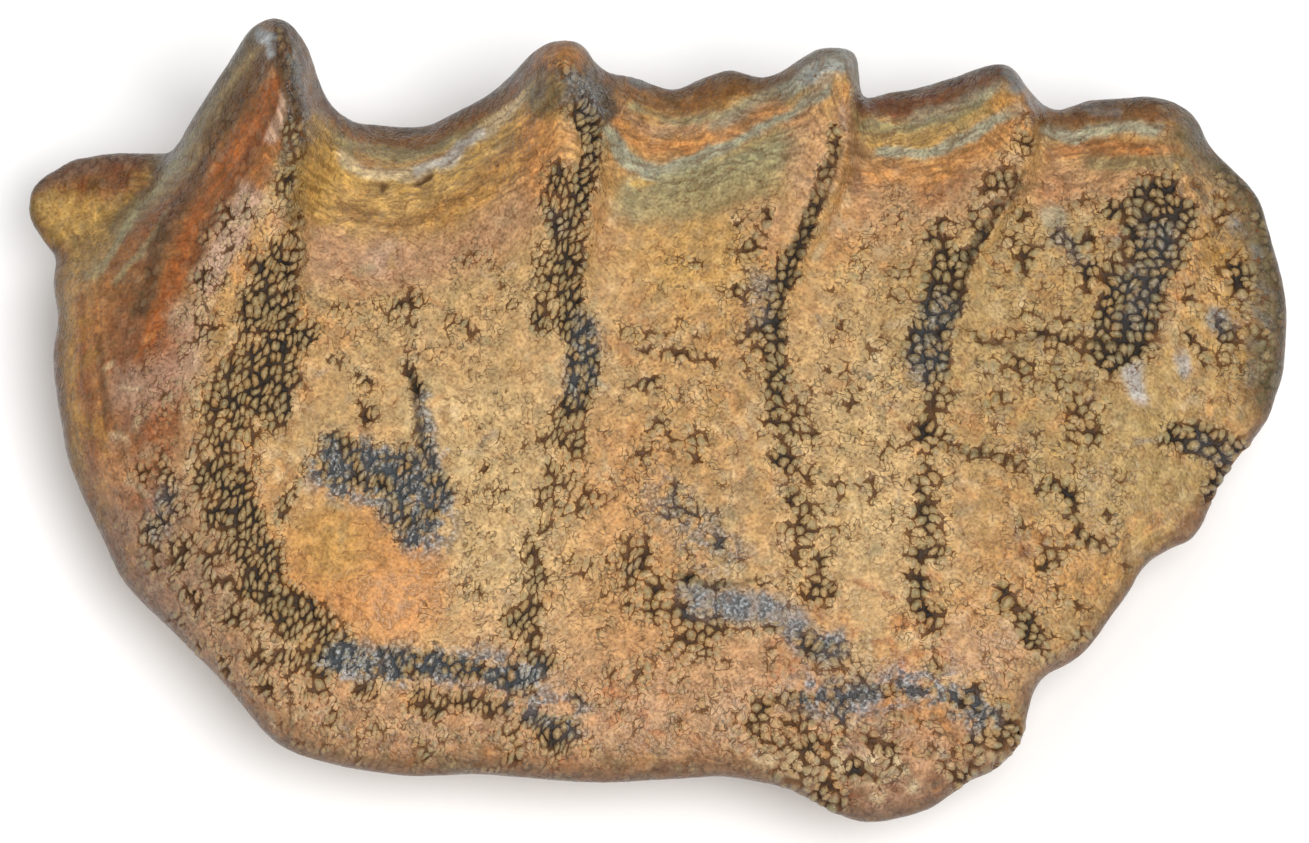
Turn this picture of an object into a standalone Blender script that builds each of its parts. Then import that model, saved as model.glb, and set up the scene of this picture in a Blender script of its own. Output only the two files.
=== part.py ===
# Fossil ceratodus lungfish tooth: one crushing tooth plate with five ridges.
#
# The plate lies on its bony base on a small flat spot. +X runs along its length, +Y points to the
# cusped outer side, +Z is up, and the origin is under the middle of the plate.
#
# The crown is drawn on a sketch plane that leans back by SKETCH_LEAN from level, facing a viewer in
# front of and above the plate. A point there is (across, up), and the crown gives each such point a
# height above the bed, so lay_down() can set it at its x, y and z.

import math

import bmesh
import bpy
import numpy as np
from mathutils import Vector, noise

MM = 0.001

# Driving dimensions, in millimetres and degrees.
SKETCH_LEAN = 25.0
SKETCH_HEIGHT = 7.0
BASE_LIFT = 1.0
FLAT_SPOT_LENGTH = 15.0
FLAT_SPOT_WIDTH = 9.0
FLAT_SPOT_MIDDLE = (-0.3, 1.0)
UNDERSIDE_CROWNING = 8.0
UNDERSIDE_ROUGH_FROM = 0.1
UNDERSIDE_ROUGH_FULL = 1.6
UNDERSIDE_ROUGH_LEVEL = 0.6

# The rim rolls over within this width, and drops this far, at the front and at the outer side.
RIM_WIDTH_FRONT = 1.7
RIM_WIDTH_OUTER = 0.7
RIM_DROP_FRONT = 1.3
RIM_DROP_OUTER = 0.55
KNOB_RIM_SHARE = 0.5
KNOB_LENGTH = 4.0

# The rim's own direction, as its share of +Y, between which front edge turns into outer side.
FACING_FRONT = -0.4
FACING_OUTER = 0.6

# The bony base stands inside the rim by these amounts.
BASE_INSET = 1.2
BASE_INSET_FRONT = 1.7
BASE_SMOOTHING = 3.2
BASE_EDGE_WIDTH = 1.2
BASE_EDGE_ROUNDING = 0.6

# How far the wall keeps the rim's direction, and how far it rises upright from the base.
WALL_RIM_SHARE = 0.3
WALL_BASE_SHARE = 0.45
WALL_SMOOTHING = 1.5

# Mesh fineness before the surface is thinned to its final faces.
COLUMNS = 320
ROWS = 84
WALL_ROWS = 14
CURVE_STEPS = 12
MERGE_WITHIN = 0.001
PLACES_AT_ONCE = 2000
FACES_WANTED = 9600

# Outer edge from the knob at the left end, over the five cusps, to the right end: (across, up).
OUTER_EDGE = (
    (-25.28, 8.86), (-25.0, 9.6), (-24.2, 10.2), (-23.4, 10.6), (-21.8, 10.85), (-20.2, 10.85),
    (-19.5, 10.9), (-19.1, 11.3), (-18.6, 12.2), (-17.8, 13.4), (-17.0, 14.65), (-16.5, 15.45),
    (-16.1, 15.9), (-15.4, 16.2), (-14.7, 16.05), (-14.2, 15.5), (-13.85, 14.9), (-13.5, 13.7),
    (-13.0, 12.7), (-12.2, 12.15), (-11.4, 12.0), (-9.4, 11.9), (-8.2, 12.4), (-6.6, 13.25),
    (-5.8, 13.95), (-5.0, 14.8), (-4.4, 15.2), (-3.8, 15.35), (-3.2, 15.3), (-2.75, 15.0),
    (-2.4, 14.45), (-1.8, 14.05), (-0.8, 13.9), (0.0, 13.6), (0.8, 13.4), (1.8, 13.8),
    (2.6, 14.1), (3.1, 14.2), (3.6, 14.05), (4.2, 13.85), (5.0, 14.05), (5.8, 14.6),
    (6.6, 15.0), (7.4, 15.05), (7.9, 14.95), (8.15, 14.6), (8.2, 13.85), (8.3, 13.2),
    (8.6, 13.05), (9.4, 13.3), (10.3, 13.4), (11.8, 13.8), (13.0, 14.25), (13.8, 14.4),
    (14.3, 14.3), (14.6, 14.0), (15.0, 13.4), (15.6, 12.8), (16.0, 12.6), (16.6, 12.6),
    (17.4, 12.95), (18.6, 13.0), (19.8, 13.1), (20.7, 12.95), (21.4, 12.6), (21.9, 12.05),
    (22.3, 11.15), (23.0, 10.35), (23.8, 9.6), (24.35, 8.8), (24.75, 7.3), (25.2, 5.65),
    (25.4, 4.05),
)

KNOB_END = OUTER_EDGE[0][0]

# Front edge from the knob, round the left side and the lower right lobe, to the right end.
FRONT_EDGE = (
    (-25.28, 8.86), (-25.2, 8.2), (-24.8, 7.45), (-24.15, 6.6), (-24.25, 5.6), (-24.1, 4.7),
    (-24.0, 3.9), (-24.2, 2.7), (-24.1, 1.4), (-23.85, 0.05), (-23.55, -1.5), (-22.9, -3.15),
    (-22.1, -4.75), (-21.4, -6.3), (-20.2, -7.55), (-18.9, -8.75), (-17.7, -9.95), (-16.6, -11.15),
    (-15.7, -12.3), (-14.8, -13.05), (-13.4, -13.55), (-11.4, -13.95), (-9.4, -14.15),
    (-7.0, -14.05), (-4.6, -14.25), (-2.2, -14.4), (0.6, -14.25), (2.6, -14.15), (4.2, -14.35),
    (5.4, -14.65), (6.6, -15.3), (7.6, -15.8), (8.6, -16.0), (9.8, -15.8), (11.0, -15.4),
    (11.8, -14.85), (12.6, -14.3), (13.4, -14.0), (14.2, -13.3), (14.7, -12.5), (14.85, -11.7),
    (15.1, -10.75), (15.6, -10.15), (16.6, -9.65), (17.4, -8.95), (18.2, -7.85), (19.0, -6.8),
    (19.3, -6.15), (19.8, -5.6), (20.6, -5.1), (21.4, -4.8), (21.9, -4.15), (22.2, -3.4),
    (22.7, -2.35), (23.4, -1.4), (24.1, -0.6), (24.6, 0.1), (24.9, 1.05), (25.2, 1.85),
    (25.3, 3.05), (25.4, 4.05),
)

# The mesh's columns bend through this line along the middle of the plate, drawn in from its ends.
MIDDLE_ACROSS = (-21.5, 0.0, 21.5)
MIDDLE_UP = (6.5, 1.0, 3.5)
MIDDLE_SHARE = 0.86

# Lines along the crown, from the outer side to the front, as (up, across, height). In order from
# left to right: each ridge is a flank, a crest and a foot, with a saddle before the next one.
KNOB = ((11.0, -24.0, 5.0), (8.5, -24.4, 5.2), (7.0, -24.6, 5.2), (4.0, -24.8, 5.2),
        (0.0, -24.6, 5.2), (-14.0, -17.0, 4.8))
KNOB_TOE = ((11.0, -19.7, 5.7), (9.0, -20.9, 5.7), (7.6, -22.6, 5.8), (5.0, -24.1, 5.8),
            (0.0, -23.6, 5.9), (-5.0, -21.4, 5.8), (-14.0, -15.6, 5.3))
SHOULDER = ((16.0, -16.7, 11.2), (14.0, -17.8, 9.8), (12.0, -19.0, 8.2), (10.5, -19.4, 7.5),
            (9.0, -20.2, 7.2), (7.5, -21.6, 7.0), (5.0, -23.0, 6.9), (2.0, -22.6, 7.1),
            (-1.0, -22.0, 7.0), (-5.0, -20.1, 6.7), (-9.0, -17.6, 6.4), (-14.0, -14.4, 5.8))
FLANK_1 = ((16.0, -15.9, 12.0), (13.0, -16.3, 11.3), (10.0, -17.2, 10.1), (7.0, -18.3, 9.2),
           (4.0, -18.9, 8.8), (0.0, -19.7, 8.3), (-4.0, -19.0, 7.8), (-8.0, -17.0, 7.2),
           (-14.0, -13.2, 6.1))
CREST_1 = ((16.2, -15.1, 12.6), (15.0, -14.9, 13.0), (13.0, -14.5, 12.6), (11.0, -14.5, 11.9),
           (9.0, -14.8, 11.2), (7.0, -15.0, 10.6), (5.0, -15.1, 10.1), (3.0, -15.7, 9.7),
           (0.0, -17.2, 9.1), (-3.0, -17.7, 8.6), (-6.0, -16.8, 8.1), (-9.0, -14.9, 7.4),
           (-14.0, -12.0, 6.2))
FOOT_1 = ((15.5, -13.8, 11.0), (13.5, -13.3, 9.4), (11.5, -12.8, 8.0), (10.0, -12.9, 8.0),
          (8.0, -13.4, 8.4), (6.0, -13.8, 8.8), (3.0, -14.0, 9.0), (0.0, -14.8, 8.7),
          (-4.0, -15.4, 8.2), (-8.0, -13.6, 7.4), (-14.0, -10.6, 6.2))
SADDLE_1 = ((12.2, -10.9, 5.5), (11.2, -10.9, 6.2), (10.0, -10.9, 7.0), (8.5, -10.8, 7.8),
            (7.0, -10.7, 8.3), (4.0, -10.8, 8.7), (0.0, -11.2, 8.7), (-4.0, -11.8, 8.4),
            (-9.0, -10.6, 7.4), (-12.0, -8.8, 6.7), (-14.0, -8.6, 6.1))
FLANK_2 = ((14.0, -6.3, 7.9), (12.0, -7.2, 7.7), (10.0, -7.3, 8.4), (8.0, -7.1, 8.9),
           (4.0, -7.0, 9.0), (0.0, -7.0, 8.8), (-5.0, -7.2, 8.4), (-10.0, -7.0, 7.4),
           (-14.0, -6.2, 6.2))
CREST_2 = ((15.4, -3.6, 11.1), (14.3, -3.5, 11.5), (12.0, -3.3, 11.2), (9.0, -3.2, 10.7),
           (6.0, -3.5, 10.0), (3.0, -3.3, 9.4), (0.0, -3.4, 9.1), (-4.0, -4.0, 8.7),
           (-8.0, -5.0, 8.0), (-14.0, -4.4, 6.3))
FOOT_2 = ((14.4, -1.9, 9.3), (12.5, -1.6, 8.5), (11.0, -1.4, 8.3), (9.0, -1.5, 8.5),
          (6.0, -2.4, 8.8), (2.0, -2.0, 8.8), (-3.0, -2.7, 8.5), (-8.0, -3.6, 7.8),
          (-14.0, -3.0, 6.3))
SADDLE_2 = ((13.6, 0.5, 6.6), (12.5, 0.2, 6.9), (11.0, 0.0, 7.5), (9.5, 0.0, 8.0),
            (8.0, 0.1, 8.4), (5.0, 0.4, 8.7), (0.0, 0.4, 8.7), (-5.0, -0.3, 8.3),
            (-10.0, -1.0, 7.5), (-14.0, -1.0, 6.3))
FLANK_3 = ((14.2, 3.3, 7.7), (13.0, 3.7, 8.0), (11.5, 3.9, 8.7), (9.5, 3.8, 9.1),
           (7.0, 3.2, 9.1), (3.0, 2.4, 9.0), (-2.0, 2.8, 8.8), (-8.0, 3.0, 8.1),
           (-14.0, 3.0, 6.5))
CREST_3 = ((15.1, 7.3, 10.5), (14.0, 7.7, 10.9), (12.0, 7.7, 10.4), (10.0, 7.3, 10.0),
           (8.0, 6.4, 9.8), (6.0, 5.4, 9.6), (4.0, 4.9, 9.4), (0.0, 5.2, 9.1),
           (-5.0, 5.8, 8.7), (-9.0, 6.0, 8.1), (-15.0, 6.0, 6.3))
FOOT_3 = ((14.6, 8.6, 9.2), (13.0, 8.55, 8.1), (11.0, 8.5, 8.2), (9.0, 7.8, 8.6),
          (7.0, 6.6, 8.8), (5.0, 5.8, 8.9), (0.0, 5.9, 8.8), (-5.0, 6.5, 8.4),
          (-9.0, 6.8, 7.9), (-15.0, 6.9, 6.2))
SADDLE_3 = ((13.5, 9.8, 6.9), (12.3, 9.6, 7.3), (11.0, 9.5, 7.9), (9.0, 9.4, 8.5),
            (6.0, 9.0, 8.7), (0.0, 8.6, 8.7), (-5.0, 8.9, 8.3), (-10.0, 9.2, 7.5),
            (-15.0, 8.8, 6.1))
FLANK_4 = ((14.3, 12.4, 8.3), (12.5, 12.2, 8.5), (10.5, 12.4, 9.0), (8.0, 11.5, 9.1),
           (5.0, 10.3, 9.0), (0.0, 10.0, 8.9), (-5.0, 10.0, 8.5), (-10.0, 10.2, 7.7),
           (-15.0, 10.0, 6.1))
CREST_4 = ((14.5, 13.8, 10.0), (13.5, 14.4, 10.4), (12.0, 15.0, 10.1), (10.0, 14.7, 9.8),
           (8.0, 13.6, 9.6), (6.0, 12.4, 9.5), (3.0, 11.6, 9.3), (-2.0, 11.0, 8.9),
           (-8.0, 10.8, 8.2), (-15.0, 10.8, 6.2))
FOOT_4 = ((13.4, 15.3, 8.7), (12.2, 15.9, 7.7), (10.0, 15.5, 8.2), (8.0, 14.4, 8.6),
          (6.0, 13.2, 8.8), (2.0, 12.4, 8.7), (-4.0, 11.9, 8.3), (-8.0, 11.7, 7.9),
          (-15.0, 11.8, 6.0))
SADDLE_4 = ((12.8, 16.7, 7.1), (11.5, 16.8, 7.5), (10.0, 16.7, 8.0), (8.0, 16.3, 8.3),
            (4.0, 15.2, 8.5), (0.0, 15.0, 8.4), (-5.0, 14.8, 7.9), (-9.0, 13.6, 7.3),
            (-14.0, 13.0, 6.2))
CREST_5 = ((13.2, 19.8, 8.5), (11.5, 20.5, 9.0), (9.0, 20.9, 9.1), (6.0, 20.2, 8.9),
           (2.0, 18.8, 8.6), (-3.0, 17.4, 7.9), (-7.0, 16.2, 7.2), (-14.0, 14.2, 6.1))
RIGHT_SIDE = ((12.6, 22.0, 7.7), (10.0, 22.6, 7.7), (7.0, 23.2, 7.6), (3.0, 23.6, 7.2),
              (0.0, 22.8, 7.0), (-4.0, 20.2, 6.7), (-8.0, 17.2, 6.5), (-14.0, 14.9, 5.9))

# Crown lines that come together keep at least this much room between them.
LINE_GAP = 0.05

CROWN_LINES = (
    KNOB, KNOB_TOE, SHOULDER, FLANK_1, CREST_1, FOOT_1, SADDLE_1, FLANK_2, CREST_2, FOOT_2,
    SADDLE_2, FLANK_3, CREST_3, FOOT_3, SADDLE_3, FLANK_4, CREST_4, FOOT_4, SADDLE_4, CREST_5,
    RIGHT_SIDE,
)

# Smooth worn domes, lumps and hollows on the crown: (across, up, half width, half depth, height).
LUMP_SHARPNESS = 1.5
LUMPS = (
    (-11.6, -6.0, 3.3, 2.7, 0.6),
    (-9.2, 0.9, 1.4, 1.2, 0.3),
    (-6.4, -3.0, 2.0, 2.6, 0.25),
    (-14.8, -0.8, 1.2, 2.4, 0.2),
    (-1.2, -9.0, 2.4, 2.2, 0.25),
    (2.4, -10.8, 2.6, 1.8, 0.25),
    (0.4, 2.0, 2.4, 2.4, 0.2),
    (8.3, -3.0, 1.6, 5.0, 0.25),
    (14.0, -5.0, 1.6, 3.4, 0.25),
    (18.6, -1.2, 1.9, 2.4, 0.3),
    (3.1, 13.6, 0.8, 0.8, 0.35),
    (6.6, -14.1, 0.9, 0.7, 0.4),
    (8.6, -14.6, 1.1, 0.8, 0.5),
    (10.4, -13.6, 0.9, 0.7, 0.45),
    (8.2, -12.6, 0.9, 0.6, 0.35),
    (5.4, -12.6, 1.0, 0.7, 0.35),
    (12.1, -12.9, 0.8, 0.7, 0.35),
    (13.4, -11.9, 0.7, 0.8, 0.35),
    (-10.4, -2.6, 2.0, 1.3, -0.25),
    (19.9, 8.0, 1.8, 0.7, -0.25),
    (22.7, 7.2, 0.8, 2.0, -0.22),
    (-22.4, 9.4, 1.2, 0.8, 0.3),
)

# Pitted lanes worn lower than the dentine beside them: half width, depth and (across, up) places.
LANES = (
    (0.9, 0.22, ((-14.8, 9.5), (-15.2, 5.0), (-15.7, 3.0), (-17.0, 0.0), (-17.5, -2.5), (-16.8, -5.0),
                 (-15.5, -7.5), (-13.2, -9.2), (-10.0, -9.9), (-5.5, -10.5))),
    (0.8, 0.22, ((-3.0, 11.5), (-3.5, 6.0), (-3.1, 2.5), (-3.3, 0.0), (-4.0, -3.0), (-4.9, -6.0),
                 (-5.4, -9.0))),
    (0.7, 0.2, ((7.3, 11.0), (6.8, 9.0), (5.6, 6.5), (4.7, 5.0), (4.6, 3.0), (5.0, 0.0),
                (5.6, -3.0), (5.9, -6.0), (6.6, -8.5))),
    (0.8, 0.22, ((14.6, 10.8), (13.4, 8.5), (11.8, 6.0), (11.1, 3.0), (10.8, 0.0), (10.8, -5.0),
                 (10.6, -9.5))),
    (1.0, 0.3, ((19.9, 8.2), (19.2, 5.5), (19.0, 3.2))),
    (0.7, 0.35, ((4.2, -12.4), (5.8, -11.1), (9.0, -10.7), (12.5, -10.9), (14.4, -11.4))),
)

# Ribs that stand out of the outer wall under the cusps: (across, half width, how far).
WALL_RIBS = ((-15.2, 1.3, 0.7), (-3.4, 1.4, 0.6), (7.2, 1.2, 0.55), (14.0, 1.3, 0.5), (20.0, 1.6, 0.4))
RIBS_FROM = 0.2
RIBS_FULL = 0.8

# Linear colour and gloss of the plain dentine.
DENTINE_COLOUR = (0.42, 0.25, 0.11, 1.0)
DENTINE_ROUGHNESS = 0.42

# Slow unevenness of the worn crown, and coarser relief of the bone below it.
CROWN_WAVE = 2.6
CROWN_WAVE_HEIGHT = 0.1
BONE_WAVE = 3.0
BONE_WAVE_HEIGHT = 0.3
WAVE_OCTAVES = 2
CROWN_SEED = 3.0
WALL_SEED = 5.0
UNDERSIDE_SEED = 11.0


def clear_scene():
    for item in list(bpy.data.objects):
        bpy.data.objects.remove(item, do_unlink=True)


# A smooth curve through the points, sampled at even steps along its length.
def even_curve(points, count):
    spots = np.array(points, dtype=float)
    before = np.vstack((2 * spots[0] - spots[1], spots[:-1]))
    after = np.vstack((spots[1:], 2 * spots[-1] - spots[-2]))
    leaving = (after - before) / 2
    share = np.linspace(0, 1, CURVE_STEPS, endpoint=False)[:, None]
    pieces = []
    for start, end, out, into in zip(spots[:-1], spots[1:], leaving[:-1], leaving[1:], strict=True):
        pieces.append(
            (2 * share**3 - 3 * share**2 + 1) * start
            + (share**3 - 2 * share**2 + share) * out
            + (3 * share**2 - 2 * share**3) * end
            + (share**3 - share**2) * into
        )
    fine = np.vstack((*pieces, spots[-1:]))
    travelled = np.concatenate(([0.0], np.cumsum(np.linalg.norm(np.diff(fine, axis=0), axis=1))))
    stations = np.linspace(0, travelled[-1], count)
    return np.column_stack([np.interp(stations, travelled, fine[:, axis]) for axis in range(2)])


# A curve through the knots that never overshoots them. The knots rise along the last axis.
def smooth_through(knots, values, places):
    gaps = np.diff(knots, axis=-1)
    rises = np.diff(values, axis=-1) / gaps
    left, right = rises[..., :-1], rises[..., 1:]
    weight_left = 2 * gaps[..., 1:] + gaps[..., :-1]
    weight_right = gaps[..., 1:] + 2 * gaps[..., :-1]
    same_way = left * right > 0
    safe_left = np.where(same_way, left, 1.0)
    safe_right = np.where(same_way, right, 1.0)
    mean = (weight_left + weight_right) / (weight_left / safe_left + weight_right / safe_right)
    inner = np.where(same_way, mean, 0.0)
    slopes = np.concatenate((rises[..., :1], inner, rises[..., -1:]), axis=-1)
    held = np.clip(places, knots[..., 0], knots[..., -1])
    cell = np.clip((held[..., None] >= knots[..., 1:-1]).sum(axis=-1), 0, gaps.shape[-1] - 1)[..., None]

    def pick(table, step=0):
        table = np.broadcast_to(table, (*held.shape, table.shape[-1]))
        return np.take_along_axis(table, cell + step, axis=-1)[..., 0]

    gap = pick(gaps)
    share = (held - pick(knots)) / gap
    return (
        (2 * share**3 - 3 * share**2 + 1) * pick(values)
        + (share**3 - 2 * share**2 + share) * gap * pick(slopes)
        + (3 * share**2 - 2 * share**3) * pick(values, 1)
        + (share**3 - share**2) * gap * pick(slopes, 1)
    )


# Where one crown line lies at each place up the sketch, and how high it is there.
def line_at(line, up):
    table = np.array(sorted(line))
    across = smooth_through(table[:, 0], table[:, 1], up)
    height = smooth_through(table[:, 0], table[:, 2], up)
    return across, height


def wave(across, up, size, seed):
    places = [Vector((a / size, u / size, seed)) for a, u in zip(across, up, strict=True)]
    return np.array([noise.fractal(place, 1.0, 2.0, WAVE_OCTAVES) for place in places])


# How far each place is from a route of straight runs.
def distance_to_route(across, up, route):
    places = np.column_stack((across, up))
    nearest = np.full(len(places), np.inf)
    for start, end in zip(route[:-1], route[1:], strict=True):
        start = np.array(start)
        run = np.array(end) - start
        share = np.clip((places - start) @ run / (run @ run), 0, 1)
        away = np.linalg.norm(places - start - share[:, None] * run, axis=1)
        nearest = np.minimum(nearest, away)
    return nearest


# Height of the unworn crown surface, before its rim rolls over.
def crown_height(across, up):
    lines = [line_at(line, up) for line in CROWN_LINES]
    places = np.column_stack([line[0] for line in lines])
    heights = np.column_stack([line[1] for line in lines])
    step = LINE_GAP * np.arange(places.shape[1])
    places = np.maximum.accumulate(places - step, axis=1) + step
    height = smooth_through(places, heights, across)
    for middle, middle_up, half_width, half_depth, lump in LUMPS:
        away = ((across - middle) / half_width) ** 2 + ((up - middle_up) / half_depth) ** 2
        height = height + lump * np.exp(-LUMP_SHARPNESS * away)
    for half_width, depth, route in LANES:
        away = distance_to_route(across, up, route)
        height = height - depth * np.exp(-((away / half_width) ** 2))
    return height + CROWN_WAVE_HEIGHT * wave(across, up, CROWN_WAVE, CROWN_SEED)


# Sketch points and heights to x, y, z.
def lay_down(across, up, height):
    lean = math.radians(SKETCH_LEAN)
    y = (up - (height - SKETCH_HEIGHT) * math.sin(lean)) / math.cos(lean)
    return np.stack((across, y, height), axis=-1)


# Unit vectors out of a closed ring of points that runs clockwise seen from above.
def ring_normals(ring):
    along = np.roll(ring, -1, axis=0) - np.roll(ring, 1, axis=0)
    normals = np.column_stack((-along[:, 1], along[:, 0]))
    return normals / np.linalg.norm(normals, axis=1, keepdims=True)


# A moving average along a closed ring, over the given length to each side.
def smooth_ring(ring, reach):
    lengths = np.linalg.norm(np.roll(ring, -1, axis=0) - ring, axis=1)
    half = max(1, int(reach / lengths.mean()))
    weights = np.hanning(2 * half + 3)[1:-1]
    total = sum(w * np.roll(ring, half - k, axis=0) for k, w in enumerate(weights))
    return total / weights.sum()


# Columns from the front edge to the outer edge, closer together at both.
def plate_columns(front, outer):
    across = MIDDLE_SHARE * outer[:, 0]
    middle = np.column_stack((across, np.interp(across, MIDDLE_ACROSS, MIDDLE_UP)))
    share = (1 - np.cos(np.linspace(0, math.pi, ROWS + 1)))[:, None, None] / 2
    return (1 - share) ** 2 * front + 2 * share * (1 - share) * middle + share**2 * outer


# The front edge and the outer edge as one ring, and back again.
def ring_from_edges(front, outer):
    return np.vstack((outer, front[-2:0:-1]))


def edges_from_ring(ring):
    outer = ring[: COLUMNS + 1]
    front = np.vstack((ring[:1], ring[: COLUMNS - 1 : -1]))
    return front, outer


def fade(value, low, high):
    share = np.clip((value - low) / (high - low), 0, 1)
    return share * share * (3 - 2 * share)


# The nearest point of a ring to each place, as its number and its distance.
def nearest_on_ring(places, ring):
    near = np.empty(len(places), dtype=int)
    away = np.empty(len(places))
    for start in range(0, len(places), PLACES_AT_ONCE):
        part = slice(start, start + PLACES_AT_ONCE)
        distance = np.linalg.norm(places[part, None] - ring[None], axis=-1)
        near[part] = distance.argmin(axis=1)
        away[part] = distance.min(axis=1)
    return near, away


# How much of a rolled edge's drop is reached at each distance from it.
def rolled_share(away, width):
    outside = np.clip(1 - away / width, 0, 1)
    return 1 - np.sqrt(1 - outside**2)


# The crown's sketch points with their heights, rolled over towards the rim.
def crown_points(front, outer):
    sketch = plate_columns(front, outer).reshape(-1, 2)
    ring = ring_from_edges(front, outer)
    facing_out = fade(ring_normals(ring)[:, 1], FACING_FRONT, FACING_OUTER)
    near, away = nearest_on_ring(sketch, ring)
    past_knob = fade(sketch[:, 0], KNOB_END, KNOB_END + KNOB_LENGTH)
    knob_share = KNOB_RIM_SHARE + (1 - KNOB_RIM_SHARE) * past_knob
    width = RIM_WIDTH_FRONT + (RIM_WIDTH_OUTER - RIM_WIDTH_FRONT) * facing_out[near]
    drop = RIM_DROP_FRONT + (RIM_DROP_OUTER - RIM_DROP_FRONT) * facing_out[near]
    rolled = knob_share * drop * rolled_share(away, knob_share * width)
    height = crown_height(sketch[:, 0], sketch[:, 1]) - rolled
    return lay_down(sketch[:, 0], sketch[:, 1], height)


# Height of the underside: a small flat spot, and uneven bone that lifts towards the base's edge.
def underside_height(x, y):
    reach_x = (x - FLAT_SPOT_MIDDLE[0]) / (FLAT_SPOT_LENGTH / 2)
    reach_y = (y - FLAT_SPOT_MIDDLE[1]) / (FLAT_SPOT_WIDTH / 2)
    away = (np.sqrt(reach_x**2 + reach_y**2) - 1) * FLAT_SPOT_WIDTH / 2
    lift = BASE_LIFT * fade(away, 0, UNDERSIDE_CROWNING)
    rough = BONE_WAVE_HEIGHT * (UNDERSIDE_ROUGH_LEVEL + wave(x, y, BONE_WAVE, UNDERSIDE_SEED))
    outside_flat = fade(away, UNDERSIDE_ROUGH_FROM, UNDERSIDE_ROUGH_FULL)
    return lift + np.maximum(rough, 0) * outside_flat


# The edge of the bony base: the rim's outline from above, softened and drawn in.
def base_ring(rim):
    soft = smooth_ring(rim[:, :2], BASE_SMOOTHING)
    normals = ring_normals(soft)
    inset = BASE_INSET + BASE_INSET_FRONT * np.clip(-normals[:, 1], 0, 1)
    flat = smooth_ring(soft - inset[:, None] * normals, BASE_SMOOTHING)
    on_outer_side = fade(normals[:, 1], RIBS_FROM, RIBS_FULL)
    for middle, half_width, reach in WALL_RIBS:
        rib = reach * np.exp(-(((flat[:, 0] - middle) / half_width) ** 2))
        flat = flat + (rib * on_outer_side)[:, None] * normals
    height = underside_height(flat[:, 0], flat[:, 1]) + BASE_EDGE_ROUNDING
    return np.column_stack((flat, height))


# The wall leaves the rim along the line of sight on the sketch, and comes down upright to the base.
def wall_points(rim, base):
    tall = rim[:, 2:] - base[:, 2:]
    lean = math.radians(SKETCH_LEAN)
    first = rim + WALL_RIM_SHARE * tall * np.array((0, math.tan(lean), -1))
    second = base + WALL_BASE_SHARE * tall * np.array((0, 0, 1))
    share = np.linspace(0, 1, WALL_ROWS + 1)[:, None, None]
    wall = (
        (1 - share) ** 3 * rim
        + 3 * share * (1 - share) ** 2 * first
        + 3 * share**2 * (1 - share) * second
        + share**3 * base
    )
    flat = wall.reshape(-1, 3)
    rough = wave(flat[:, 0] + flat[:, 2], flat[:, 1] - flat[:, 2] / 3, BONE_WAVE, WALL_SEED)
    bulge = BONE_WAVE_HEIGHT * rough.reshape(wall.shape[:2]) * np.sin(math.pi * share[:, :, 0])
    wall[..., :2] += bulge[..., None] * ring_normals(smooth_ring(rim[:, :2], WALL_SMOOTHING))
    return wall


def sheet_faces(first, rows, columns, closed, flip):
    faces = []
    steps = columns if closed else columns - 1
    for row in range(rows - 1):
        for column in range(steps):
            a = first + row * columns + column
            b = first + row * columns + (column + 1) % columns
            quad = (a, b, b + columns, a + columns)
            faces.append(quad[::-1] if flip else quad)
    return faces


# The whole plate as one closed mesh: crown, wall and underside, joined along rim and base.
def plate_mesh():
    outer = even_curve(OUTER_EDGE, COLUMNS + 1)
    front = even_curve(FRONT_EDGE, COLUMNS + 1)
    crown = crown_points(front, outer)
    by_row = crown.reshape(ROWS + 1, COLUMNS + 1, 3)
    rim = ring_from_edges(by_row[0], by_row[-1])
    base = base_ring(rim)
    wall = wall_points(rim, base).reshape(-1, 3)
    base_front, base_outer = edges_from_ring(base)
    under = plate_columns(base_front[:, :2], base_outer[:, :2]).reshape(-1, 2)
    edge = nearest_on_ring(under, base[:, :2])[1]
    height = underside_height(under[:, 0], under[:, 1])
    height += BASE_EDGE_ROUNDING * rolled_share(edge, BASE_EDGE_WIDTH)
    under = np.column_stack((under, height))

    points = np.vstack((crown, wall, under))
    middle = (points.min(axis=0) + points.max(axis=0)) / 2
    points = (points - middle * (1, 1, 0)) * MM
    faces = sheet_faces(0, ROWS + 1, COLUMNS + 1, False, False)
    faces += sheet_faces(len(crown), WALL_ROWS + 1, len(rim), True, False)
    faces += sheet_faces(len(crown) + len(wall), ROWS + 1, COLUMNS + 1, False, True)

    mesh = bpy.data.meshes.new("tooth_plate")
    mesh.from_pydata(points.tolist(), [], faces)
    shape = bmesh.new()
    shape.from_mesh(mesh)
    bmesh.ops.remove_doubles(shape, verts=shape.verts, dist=MERGE_WITHIN * MM)
    bmesh.ops.triangulate(shape, faces=shape.faces)
    bmesh.ops.recalc_face_normals(shape, faces=shape.faces)
    shape.to_mesh(mesh)
    shape.free()
    return mesh


def dentine_material():
    material = bpy.data.materials.new("fossil_dentine")
    material.use_nodes = True
    shader = material.node_tree.nodes["Principled BSDF"]
    shader.inputs["Base Color"].default_value = DENTINE_COLOUR
    shader.inputs["Roughness"].default_value = DENTINE_ROUGHNESS
    shader.inputs["Metallic"].default_value = 0.0
    return material


def make_plate():
    mesh = plate_mesh()
    plate = bpy.data.objects.new("tooth_plate", mesh)
    bpy.context.scene.collection.objects.link(plate)
    mesh.materials.append(dentine_material())
    thin = plate.modifiers.new("Thin", "DECIMATE")
    thin.ratio = FACES_WANTED / len(mesh.polygons)
    mesh.shade_smooth()
    return plate


clear_scene()
make_plate()
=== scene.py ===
import math
import random

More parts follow.
